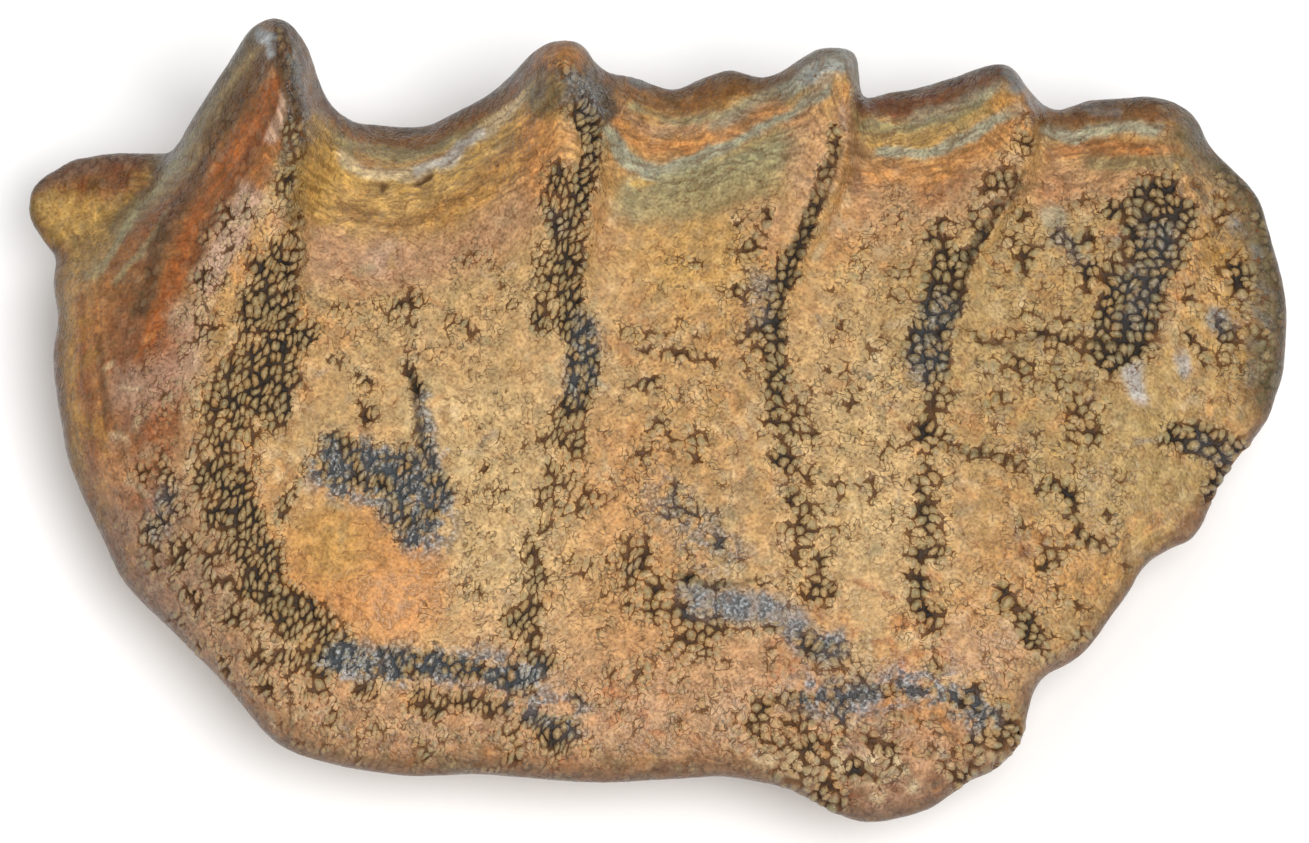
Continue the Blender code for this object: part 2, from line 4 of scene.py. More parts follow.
import bmesh
import bpy
import numpy as np
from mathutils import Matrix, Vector, kdtree, noise


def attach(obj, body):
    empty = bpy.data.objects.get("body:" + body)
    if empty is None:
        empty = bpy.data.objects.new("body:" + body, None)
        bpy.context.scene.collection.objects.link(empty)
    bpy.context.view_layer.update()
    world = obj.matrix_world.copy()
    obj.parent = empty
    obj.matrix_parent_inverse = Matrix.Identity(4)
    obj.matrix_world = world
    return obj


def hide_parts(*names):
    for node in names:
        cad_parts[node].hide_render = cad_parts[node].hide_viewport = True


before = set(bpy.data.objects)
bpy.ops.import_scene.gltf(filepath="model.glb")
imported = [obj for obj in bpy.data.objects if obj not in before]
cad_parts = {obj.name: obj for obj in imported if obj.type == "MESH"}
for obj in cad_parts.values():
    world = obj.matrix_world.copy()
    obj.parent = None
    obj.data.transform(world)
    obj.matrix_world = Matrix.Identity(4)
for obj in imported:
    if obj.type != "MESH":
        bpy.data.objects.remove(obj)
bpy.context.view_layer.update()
scene = bpy.context.scene
print("frame loaded")

# The crown is drawn on a plane that leans back from level and faces the camera: across and up, in mm.
sketch = {"lean": math.radians(25.0), "height": 7.0, "middleX": 0.06, "middleY": -0.3186}

# Colours of the fossil as they look under the studio lights, hex sRGB. The lights make a lit place
# look this much brighter than its own colour.
lift = 1.31
palette = {
    "ochre": "c89a5e",
    "tan": "c7a470",
    "paleTan": "d2b27c",
    "cream": "dcc49a",
    "yellow": "c99f55",
    "gold": "b3863c",
    "orange": "c98a4c",
    "rust": "a0561f",
    "redBrown": "743d18",
    "brown": "80501f",
    "darkBrown": "4d3118",
    "umber": "3a2a1a",
    "black": "1d1812",
    "pinkTan": "bd9069",
    "pink": "c9a58c",
    "mauve": "94705a",
    "olive": "a58f5a",
    "oliveGrey": "8f8058",
    "darkOlive": "665a3c",
    "sage": "9c9670",
    "paleBlue": "a3a38c",
    "blueGrey": "7e8486",
    "blueWhite": "b6bdc2",
    "lilac": "89837f",
    "knobBrown": "85541c",
    "streakBrown": "6c4b22",
    "darkGrain": "b09070",
    "slate": "4c5358",
    "marginBrown": "9c7150",
    "bone": "a98c66",
    "boneDark": "5b4630",
}


def linear(name):
    parts = [int(palette[name][i:i + 2], 16) / 255 for i in (0, 2, 4)]
    return [(c / 12.92 if c <= 0.04045 else ((c + 0.055) / 1.055) ** 2.4) / lift for c in parts]


def tone(name):
    return (*linear(name), 1.0)


# Surface

surface = {"voxel": 0.00015, "smoothSteps": 8, "belowShare": 0.12, "crownFloor": 3.6}


def ownMesh(item):
    layer = bpy.context.evaluated_depsgraph_get()
    mesh = bpy.data.meshes.new_from_object(item.evaluated_get(layer))
    item.modifiers.clear()
    item.data = mesh
    return item


def makeSurface():
    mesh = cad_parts["tooth_plate"].data.copy()
    shape = bmesh.new()
    shape.from_mesh(mesh)
    bmesh.ops.remove_doubles(shape, verts=shape.verts, dist=1e-6)
    shape.to_mesh(mesh)
    shape.free()
    item = bpy.data.objects.new("toothPlate", mesh)
    scene.collection.objects.link(item)
    rounded = item.modifiers.new("Rounded", "SUBSURF")
    rounded.levels = 2
    even = item.modifiers.new("Even", "REMESH")
    even.mode = "VOXEL"
    even.voxel_size = surface["voxel"]
    soft = item.modifiers.new("Soft", "SMOOTH")
    soft.factor = 0.5
    soft.iterations = surface["smoothSteps"]
    return ownMesh(item)


def places(item):
    spots = np.empty(len(item.data.vertices) * 3)
    item.data.vertices.foreach_get("co", spots)
    return spots.reshape(-1, 3) * 1000


def normals(item):
    out = np.empty(len(item.data.vertices) * 3)
    item.data.vertex_normals.foreach_get("vector", out)
    return out.reshape(-1, 3)


def fade(value, low, high):
    share = np.clip((value - low) / (high - low), 0, 1)
    return share * share * (3 - 2 * share)


def store(item, name, values, kind="FLOAT"):
    layer = item.data.attributes.new(name, kind, "POINT")
    key = {"FLOAT": "value", "FLOAT_COLOR": "color", "FLOAT_VECTOR": "vector"}[kind]
    layer.data.foreach_set(key, values.ravel())


plate = makeSurface()
print("surface", len(plate.data.vertices))

spots = places(plate)
facing = normals(plate) @ np.array((0.0, -math.sin(sketch["lean"]), math.cos(sketch["lean"])))
across = spots[:, 0] + sketch["middleX"]
up = (spots[:, 1] + sketch["middleY"]) * math.cos(sketch["lean"])
up = up + (spots[:, 2] - sketch["height"]) * math.sin(sketch["lean"])
crown = fade(facing, -0.05, 0.12) * fade(spots[:, 2], surface["crownFloor"] - 0.5, surface["crownFloor"] + 0.5)

# Paint is laid on a slightly wandering copy of the sketch, so no border runs clean.
wander = {"size": 1.1, "reach": 0.2, "fineSize": 0.35, "fineReach": 0.1}


def wanderAt(size, reach, seed):
    moved = np.zeros((len(across), 2))
    for i in np.flatnonzero(crown > 0):
        drift = noise.noise_vector(Vector((across[i] / size, up[i] / size, seed)))
        moved[i] = drift[0] * reach, drift[1] * reach
    return moved


drift = wanderAt(wander["size"], wander["reach"], 2.0) + wanderAt(wander["fineSize"], wander["fineReach"], 7.0)
paintAcross = across + drift[:, 0]
paintUp = up + drift[:, 1]
print("wander done")


# How far each place lies from a line, to the left and to the right of its direction.
def strokeShare(points, left, right, soft):
    share = np.zeros(len(paintAcross))
    soft = min(soft, 0.6 * (left + right))
    reach = max(left, right) + soft
    line = np.array(points, dtype=float)
    low = line.min(axis=0) - reach
    high = line.max(axis=0) + reach
    near = np.flatnonzero(
        (crown > 0) & (paintAcross > low[0]) & (paintAcross < high[0]) & (paintUp > low[1]) & (paintUp < high[1])
    )
    here = np.column_stack((paintAcross[near], paintUp[near]))
    best = np.full(len(near), np.inf)
    side = np.zeros(len(near))
    if len(line) == 1:
        best = np.linalg.norm(here - line[0], axis=1)
    for start, end in zip(line[:-1], line[1:]):
        run = end - start
        part = np.clip((here - start) @ run / (run @ run), 0, 1)
        away = here - start - part[:, None] * run
        length = np.linalg.norm(away, axis=1)
        closer = length < best
        best = np.where(closer, length, best)
        side = np.where(closer, run[0] * away[:, 1] - run[1] * away[:, 0], side)
    width = np.where(side > 0, left, right)
    share[near] = 1 - fade(best, width - soft, width + soft)
    return share


# Broad tones first, then stripes and blotches: colour, strength, half width, softness, line.
strokes = (
    ("tan", 0.7, 6.0, 4.0, ((-7, 3), (-5, -4), (-3, -6))),
    ("tan", 0.8, 3.5, 3.0, ((8, 2), (8.4, -5))),
    ("olive", 0.55, 4.5, 3.5, ((14, 4), (17, 0), (18, -2))),
    ("olive", 0.35, 2.5, 2.0, ((20, -1), (22.5, 2))),
    ("pinkTan", 0.8, 2.6, 2.4, ((-6, -11.5), (0, -11), (4, -11))),
    ("orange", 0.5, 2.2, 2.0, ((-1.5, -2), (-0.5, -8))),
    ("marginBrown", 0.9, 1.5, 1.2, ((-24, 6), (-24, 1), (-22.4, -4.5), (-19.5, -8.8), (-16.5, -12))),
    ("marginBrown", 0.9, 1.3, 1.0, ((-16.5, -12), (-12, -14), (-4, -14.4), (3, -14.3), (8, -16.2), (13, -14.6))),
    ("mauve", 0.75, 2.6, 1.8, ((-21.5, 2), (-21, -3), (-18.8, -6.5))),
    ("pinkTan", 0.7, 1.2, 1.0, ((-17.5, -9), (-13, -11.4), (-9, -11.8))),
    ("orange", 0.9, 2.4, 0.7, ((-12.2, -5.8), (-10.5, -6.3))),
    ("yellow", 0.6, 1.4, 1.0, ((-12.8, -4.9),)),
    ("paleTan", 0.7, 1.2, 0.7, ((-9.4, 0.6),)),
    ("paleTan", 0.6, 2.2, 1.6, ((-6.6, -1), (-6.2, -4.5))),
    ("paleTan", 0.5, 1.6, 1.4, ((8.2, 0), (8.4, -4))),
    ("yellow", 0.5, 1.6, 1.2, ((0.5, 6.4), (2, 6.6))),
    # knob of bone at the left end
    ("knobBrown", 0.95, 2.2, 0.7, ((-24, 9), (-21, 9.6))),
    ("darkBrown", 0.5, 0.3, 0.25, ((-22.6, 9.6), (-20.4, 9.8))),
    ("yellow", 0.85, 0.8, 0.4, ((-24.7, 8.9), (-23.9, 7.9), (-22.9, 8.3))),
    ("gold", 0.5, 0.5, 0.4, ((-23, 8.6), (-21.4, 8.9))),
    ("mauve", 0.9, 0.42, 0.25, ((-25, 9.5), (-24, 10.1), (-23.2, 10.4), (-21.6, 10.6), (-19.8, 10.6))),
    # outer flank of the tallest cusp, in stripes along its left outline
    ("redBrown", 0.75, 2.4, 1, ((-16, 14), (-18, 11), (-20, 8), (-21.6, 4.5), (-21.5, 1))),
    ("oliveGrey", 0.8, 0.7, 0.4, ((-16.3, 15.2), (-18.2, 12), (-20, 9.6), (-22.8, 7.2), (-23.4, 4.5))),
    ("darkOlive", 0.9, 0.28, 0.13, ((-16.2, 15.6), (-17.8, 13.3), (-19.1, 11.3), (-19.8, 10.3), (-22, 8.2))),
    ("gold", 0.6, 0.5, 0.26, ((-22.4, 7.4), (-23.6, 6), (-23.8, 4))),
    ("sage", 0.7, 0.16, 0.08, ((-18.6, 11.6), (-19.7, 9.8), (-20.6, 8.8), (-21.6, 7.2), (-22.6, 5.8))),
    ("sage", 0.6, 0.12, 0.07, ((-19.4, 8.4), (-20.4, 7), (-21.8, 5.6))),
    ("gold", 0.6, 0.3, 0.16, ((-20.6, 9.8), (-22.6, 7.8))),
    ("darkBrown", 0.8, 0.36, 0.16, ((-15.5, 14.7), (-17.1, 12.3), (-18.5, 9.8), (-20, 6.9), (-20.6, 4.4))),
    ("rust", 0.8, 0.4, 0.2, ((-15.2, 13.5), (-16.7, 11), (-18.2, 8.3), (-19.2, 6), (-20.4, 2.6))),
    ("redBrown", 0.85, 0.22, 0.1, ((-15, 12.8), (-16.3, 10.6), (-17.5, 8.3), (-18.5, 6.4))),
    ("rust", 0.6, 0.45, 0.23, ((-14.9, 11.6), (-15.8, 10), (-17, 7.6), (-18.2, 5.4))),
    ("pink", 0.95, 0.3, 0.13, ((-14.6, 13.4), (-14.9, 12.2), (-15.3, 11.3))),
    ("pink", 0.95, 0.55, 0.26, ((-16.2, 9), (-17, 7.4), (-18, 5.6))),
    ("pink", 0.6, 0.8, 0.6, ((-18.6, 4), (-18.8, 2.4))),
    ("orange", 0.45, 0.9, 0.7, ((-22.8, 5), (-22.8, 1.6), (-21.6, -2.4))),
    ("gold", 0.7, 0.3, 0.16, ((-23.6, 5), (-23.6, 1.6), (-22.9, -2.4))),
    ("redBrown", 0.6, 0.2, 0.1, ((-23, 5), (-22.9, 2), (-22.3, -1.8))),
    ("rust", 0.55, 0.7, 0.5, ((-19.6, 3.2), (-19.6, 0.4), (-20.4, -3))),
    ("pink", 0.5, 0.9, 0.6, ((-20.8, 1.2), (-19.6, 1.6))),
    ("darkBrown", 0.65, 0.16, 0.09, ((-22.3, 3.4), (-22, 1.6), (-21.9, -0.4))),
    # painted reflection: a blue-white glint on the tip of the tallest cusp
    ("blueWhite", 0.95, 0.26, 0.1, ((-15.85, 15.4), (-15.3, 15.3), (-15.3, 14.9))),
    ("umber", 0.85, 0.65, 0.3, ((-14.7, 15.8), (-14.6, 14.5))),
    ("umber", 0.95, 0.5, 0.2, ((-14.6, 14.5), (-14.3, 12.2), (-14.4, 10.4))),
    ("darkOlive", 0.8, 0.5, 0.3, ((-14.4, 10.4), (-14.5, 8.2))),
    ("darkOlive", 0.7, 0.25, 0.13, ((-13.5, 13.6), (-13.4, 11.4))),
    ("blueGrey", 0.45, 0.2, 0.13, ((-14.5, 14.6), (-14.1, 13), (-13.8, 11.4))),
    # saddle between the first two cusps, bands that follow its edge
    ("pinkTan", 0.9, 1.3, 0.8, ((-13, 6.8), (-10, 6.6), (-7, 7.6), (-5.2, 9.4))),
    ("pink", 0.6, 0.7, 0.5, ((-10.9, 6.6),)),
    ("orange", 0.8, 0.4, 0.16, ((-9, 8), (-6.9, 9.1), (-5.1, 10.9), (-4.2, 12.2))),
    ("yellow", 0.6, 1.5, 0.7, ((-13, 9.6), (-11, 8.7), (-8.6, 9), (-6.6, 10.8), (-5, 12.6))),
    ("brown", 0.5, 0.32, 0.14, ((-12.9, 8.7), (-10.6, 7.9), (-8.8, 8.4), (-6.9, 9.8), (-5.3, 11.5))),
    ("yellow", 0.95, 0.34, 0.14, ((-13.2, 11), (-12.6, 9.9), (-11.2, 9.4), (-9.4, 9.5), (-7.6, 10.4), (-5.6, 12.2))),
    ("cream", 0.85, 0.3, 0.13, ((-12.7, 10.6), (-11.6, 9.95), (-9.8, 9.9), (-8.4, 10.4), (-6.8, 11.8), (-5, 13.4))),
    ("blueWhite", 0.6, 0.22, 0.12, ((-9.6, 10.1), (-8.4, 10.5), (-7, 11.7))),
    ("oliveGrey", 0.95, 0.36, 0.13, ((-13.2, 11.7), (-12, 10.9), (-9.8, 10.8), (-8, 11.5), (-5.8, 13.4))),
    ("brown", 0.95, 0.5, 0.16, ((-13.4, 13), (-12.8, 12.2), (-11.4, 11.6), (-9.4, 11.5), (-8, 12.1), (-6.4, 13), (-5, 14.4))),
    ("yellow", 0.7, 0.45, 0.23, ((-13.5, 12), (-13.2, 10), (-13.2, 8.4))),
    ("darkBrown", 0.7, 0.3, 0.13, ((-13.4, 13.6), (-13, 12.7), (-12, 12.1), (-9.4, 11.9), (-8, 12.5), (-6.4, 13.4), (-5, 14.8))),
    # second cusp
    ("orange", 0.8, 0.9, 0.5, ((-4.6, 11.6), (-4.4, 9.6))),
    ("brown", 0.9, 1, 0.4, ((-4.2, 14.7), (-3.2, 14.6))),
    ("orange", 0.6, 0.4, 0.2, ((-4.4, 14.9), (-3.4, 14.8))),
    ("darkOlive", 0.85, 0.8, 0.4, ((-4.6, 13.1), (-2.6, 13.2), (-2.2, 12.2))),
    ("umber", 0.8, 0.4, 0.2, ((-2.1, 14), (-1.9, 13), (-2.1, 12))),
    ("blueGrey", 0.35, 0.3, 0.16, ((-3.4, 13.8), (-2.4, 13.2))),
    # painted highlight: a blue-white glint on the second ridge's crest
    ("blueWhite", 0.9, 0.22, 0.1, ((-4.1, 8.3), (-3.9, 7.6))),
    # saddle between the second and third cusps
    ("pinkTan", 0.5, 1, 0.8, ((3.6, 9), (5.2, 8.2))),
    ("sage", 0.85, 0.8, 0.5, ((-0.8, 8.9), (2.1, 9.2), (4.9, 10.4))),
    ("yellow", 0.9, 0.16, 0.08, ((-0.8, 9.5), (1.6, 9.9), (3, 10.7), (4.9, 11.4))),
    ("paleBlue", 0.95, 0.36, 0.13, ((-1.7, 11.6), (-1.2, 10.5), (0.2, 9.9), (1.6, 10.5), (3.2, 11.4), (5, 12.3), (6.8, 13.4))),
    ("orange", 0.9, 0.32, 0.13, ((-1.5, 12), (-0.6, 11.2), (1.2, 11), (2.8, 11.6), (4.9, 12.6), (6.8, 13.8))),
    ("pinkTan", 0.7, 0.2, 0.1, ((-1.4, 12.6), (-0.4, 11.7), (1.4, 11.6), (3, 12.1), (5, 13))),
    ("sage", 0.7, 0.18, 0.09, ((-1, 12.7), (1.2, 12), (3, 12.5), (5, 13.5), (6.8, 14.3))),
    ("gold", 0.5, 0.4, 0.3, ((0, 12.6), (2.4, 13), (4.6, 13.2))),
    ("brown", 0.85, 0.62, 0.25, ((-1.6, 13.9), (0, 13.1), (1.2, 12.9), (2.4, 13.5), (3.6, 13.7), (5, 13.7), (6, 14.5))),
    ("darkBrown", 0.4, 0.25, 0.13, ((-1.6, 14.1), (0, 13.6), (1.2, 13.5), (3, 14.1), (4.4, 13.9))),
    ("blueGrey", 0.9, 0.2, 0.1, ((-1, 13.7), (-0.3, 13.6))),
    ("sage", 0.9, 0.6, 0.4, ((0.6, 9.4), (3, 10.2), (5.4, 11.2))),
    ("olive", 0.5, 0.8, 0.6, ((-0.4, 8.6), (2.6, 8.9), (4.6, 9.6))),
    ("paleBlue", 0.6, 0.3, 0.25, ((2.4, 11.9), (4.2, 12.9), (5.8, 14), (7.4, 14.6))),
    # third cusp
    ("paleBlue", 0.95, 0.65, 0.25, ((5.6, 13.4), (7, 14.5), (7.9, 14.5))),
    ("brown", 0.5, 0.16, 0.09, ((4.2, 13.4), (5.8, 14.2), (7.2, 14.8))),
    ("gold", 0.7, 0.14, 0.07, ((5.4, 12.8), (6.8, 13.8), (7.8, 13.9))),
    ("oliveGrey", 0.8, 0.3, 0.13, ((8, 14.8), (8.1, 13.6), (8.2, 12.4))),
    ("blueWhite", 0.45, 0.5, 0.4, ((6.2, 14), (7.6, 14.5))),
    ("pinkTan", 0.7, 0.8, 0.5, ((6.2, 11.6), (6, 10))),
    ("mauve", 0.6, 0.3, 0.16, ((7.6, 12.6), (8, 11), (8, 9.4))),
    # saddle between the third and fourth cusps
    ("pinkTan", 0.6, 1.2, 0.8, ((9, 8.8), (11.4, 8.6), (13.4, 9.6))),
    ("rust", 0.42, 0.6, 0.33, ((11, 9.2), (12, 9.8))),
    ("orange", 0.68, 0.5, 0.2, ((8.7, 10), (11, 9.9), (13.2, 11.2), (14.8, 12))),
    ("paleBlue", 0.9, 0.24, 0.1, ((9, 10.8), (11.6, 10.9), (13.8, 12.2), (15, 12.6))),
    ("yellow", 0.8, 0.26, 0.12, ((8.7, 11.3), (11, 11.3), (13.2, 12.6), (14.4, 13))),
    ("sage", 0.9, 0.2, 0.1, ((8.4, 11.9), (10.3, 11.8), (12.2, 12.4), (13.4, 13.2))),
    ("redBrown", 0.95, 0.55, 0.16, ((8.5, 12.8), (10.3, 12.8), (12, 13.3), (13.4, 14))),
    ("darkBrown", 0.7, 0.25, 0.13, ((8.3, 13.2), (10.3, 13.4), (12, 13.8), (13.4, 14.3))),
    ("blueGrey", 0.9, 0.35, 0.16, ((14.1, 14), (14.6, 13.4))),
    ("orange", 0.52, 0.4, 0.2, ((13.6, 12.8), (14.8, 12.6))),
    ("olive", 0.5, 0.35, 0.3, ((8.6, 11.6), (11, 11.7), (13.2, 12.6))),
    ("paleBlue", 0.6, 0.25, 0.2, ((10.4, 12.1), (12.4, 12.9), (13.6, 13.4))),
    # saddle between the fourth and fifth ridges, and the right shoulder
    ("pinkTan", 0.6, 1, 0.7, ((15.6, 9.4), (18, 9.6), (20.5, 9.6))),
    ("rust", 0.36, 0.7, 0.4, ((16.1, 9.3),)),
    ("paleBlue", 0.6, 0.45, 0.2, ((16, 8.2),)),
    ("oliveGrey", 0.8, 0.3, 0.13, ((17.6, 10.4), (19.4, 10.4), (21.4, 10.2))),
    ("rust", 0.54, 0.25, 0.12, ((15.8, 10.8), (17.6, 11), (19.4, 11), (21.2, 10.9))),
    ("paleBlue", 0.9, 0.3, 0.13, ((15.8, 11.7), (16.8, 11.4), (18.7, 11.9), (20.3, 11.8))),
    ("brown", 0.95, 0.7, 0.3, ((15.6, 12.6), (17, 12.5), (19, 12.8), (21, 12.5), (22, 11.4))),
    ("darkBrown", 0.7, 0.25, 0.13, ((15.6, 12.8), (17, 12.8), (19, 13.1), (21, 12.8), (22, 11.9))),
    ("blueGrey", 0.5, 0.3, 0.16, ((17.4, 12.6), (18.4, 12.5))),
    ("darkOlive", 0.95, 1.3, 0.8, ((22.2, 11.6), (23.8, 9.9), (24.7, 7.4), (25.1, 4.4), (24.7, 1.4))),
    ("gold", 0.7, 0.6, 0.33, ((22.5, 6.4),)),
    ("blueGrey", 0.8, 0.5, 0.23, ((22.6, 4.1),)),
    ("blueWhite", 0.65, 0.4, 0.23, ((19.1, 2.1), (19.3, 1.1))),
    ("blueWhite", 0.55, 0.3, 0.16, ((20.9, 2.6), (21.1, 2.1))),
    ("marginBrown", 0.9, 0.6, 0.33, ((24.6, -0.2), (22.4, -3.4), (20.6, -5.4), (17.4, -9.2), (15, -11))),
    ("orange", 0.38, 1.2, 1, ((14.2, -5.4), (17.6, -6))),
    ("redBrown", 0.8, 0.35, 0.16, ((14.8, -5.2),)),
    ("pinkTan", 0.6, 1.2, 0.9, ((12, -9), (14.6, -9.6))),
    ("umber", 0.5, 1.2, 0.7, ((20, 7.8), (19.4, 5.6), (19, 3.8))),
    # crumbly lobe at the front
    ("mauve", 0.7, 1.8, 1.0, ((7.6, -11.6), (8.4, -14.4), (10.4, -13.8))),
    ("pinkTan", 0.85, 1.2, 0.8, ((10.6, -13), (12.4, -12.6))),
    ("redBrown", 0.8, 0.35, 0.2, ((7.5, -11.5), (8.6, -11.9))),
    ("cream", 0.8, 0.5, 0.35, ((7.6, -12.8), (9.2, -13.8))),
    ("cream", 0.6, 0.4, 0.3, ((4.4, -13.4), (6, -14))),
    ("orange", 0.6, 0.8, 0.5, ((9.6, -10.4), (10.2, -11))),
    ("lilac", 0.85, 0.6, 0.35, ((1.4, -6.9), (3.4, -7.3), (5.6, -7.8))),
    ("slate", 0.7, 0.6, 0.35, ((6.4, -8.9), (6.8, -9.2))),
    ("cream", 0.7, 0.05, 0.04, ((8.6, -8.2), (8.65, -9.5))),
)

# Small flecks strewn along a line: colour, how many, strength, half width, line, spread around it.
field = ((-16, 1), (-8, 2), (0, -2), (8, -2), (16, 1), (22, 3))
flecks = (
    ("orange", 90, 0.5, 0.16, field, 4.0),
    ("rust", 60, 0.4, 0.12, field, 4.0),
    ("oliveGrey", 70, 0.45, 0.15, field, 4.0),
    ("sage", 60, 0.45, 0.14, field, 4.0),
    ("yellow", 60, 0.45, 0.14, field, 4.0),
    ("cream", 70, 0.5, 0.1, field, 4.0),
    ("blueGrey", 40, 0.4, 0.1, field, 4.0),
    ("brown", 70, 0.45, 0.1, field, 4.0),
    ("rust", 50, 0.6, 0.16, ((-4, -12), (4, -12.4), (9, -9), (12, -9)), 1.4),
    ("orange", 50, 0.6, 0.16, ((-12, -11.6), (-4, -12), (4, -11), (14, -7)), 1.6),
    ("redBrown", 44, 0.7, 0.14, ((5, -12), (9, -13.4), (12, -12)), 1.0),
    ("mauve", 30, 0.8, 0.2, ((6.8, -11.4), (8.6, -12.6)), 0.6),
    ("orange", 40, 0.7, 0.16, ((5, -12), (12, -12.4)), 1.0),
    ("cream", 34, 0.8, 0.12, ((4.4, -13), (8, -13.2), (10.4, -13.4)), 0.7),
    ("pinkTan", 26, 0.7, 0.18, ((7, -12), (12, -12.6)), 0.9),
    ("umber", 34, 0.6, 0.09, ((5, -11.6), (9, -12.6), (13, -12)), 1.1),
    ("oliveGrey", 34, 0.5, 0.18, ((-14, -12), (-8, -13.2), (0, -13.4)), 0.8),
    ("redBrown", 40, 0.5, 0.14, ((-14, -12.4), (-6, -13.6), (3, -13.2)), 0.8),
    ("mauve", 30, 0.5, 0.18, ((-21, 1), (-20.6, -4), (-17, -9)), 1.0),
    ("cream", 26, 0.5, 0.12, ((-20.6, 2), (-19, -5), (-14, -10.6)), 1.0),
    ("gold", 30, 0.5, 0.14, ((-23.4, 5), (-22.8, 0), (-21, -6)), 0.8),
    ("redBrown", 40, 0.6, 0.12, ((-24.6, 9.4), (-22, 10), (-20.4, 9.8)), 0.5),
    ("yellow", 20, 0.6, 0.12, ((-24.4, 8.4), (-22.6, 8.2)), 0.4),
    ("orange", 30, 0.6, 0.1, ((-4.6, 14.8), (-2.6, 14.8)), 0.5),
    ("umber", 40, 0.6, 0.1, ((-4.4, 13.4), (-2.4, 13.4), (-2.2, 12)), 0.5),
    ("blueGrey", 10, 0.4, 0.1, ((-4, 13.2), (-2.4, 12.8)), 0.5),
    ("slate", 30, 0.5, 0.1, ((19, 7.8), (20.6, 8), (19, 4)), 0.8),
    ("blueGrey", 20, 0.5, 0.14, ((22, 9), (24.4, 6), (24.6, 2)), 0.6),
    ("umber", 30, 0.5, 0.1, ((22, 9), (24, 6), (23.6, 2)), 0.7),
    ("gold", 30, 0.5, 0.12, ((22, 9), (23.6, 6), (23.4, 2)), 0.8),
    ("umber", 60, 0.5, 0.07, ((-19, -4), (-14, -11), (-4, -12.6), (3, -12.6)), 1.2),
    ("umber", 50, 0.45, 0.07, ((13, 6), (16, 0), (15, -6), (19, -4)), 1.6),
    ("umber", 40, 0.45, 0.07, ((0, 4), (2, -3), (0, -7), (4, -8)), 1.4),
    ("slate", 24, 0.5, 0.12, ((3, -7.4), (6.6, -9.6), (7, -11)), 0.7),
    # painted highlights: these four rows are blue-white glints on the mineral in the pores
    ("blueWhite", 14, 0.95, 0.12, ((-12.7, -9.6), (-11.6, -9.9)), 0.2),
    ("blueWhite", 9, 0.95, 0.12, ((-5.3, -10.1),), 0.16),
    ("blueWhite", 10, 0.6, 0.08, ((-12, -1.4), (-9, -3)), 0.6),
    ("blueWhite", 10, 0.5, 0.08, ((7, -11), (12, -11)), 0.4),
)

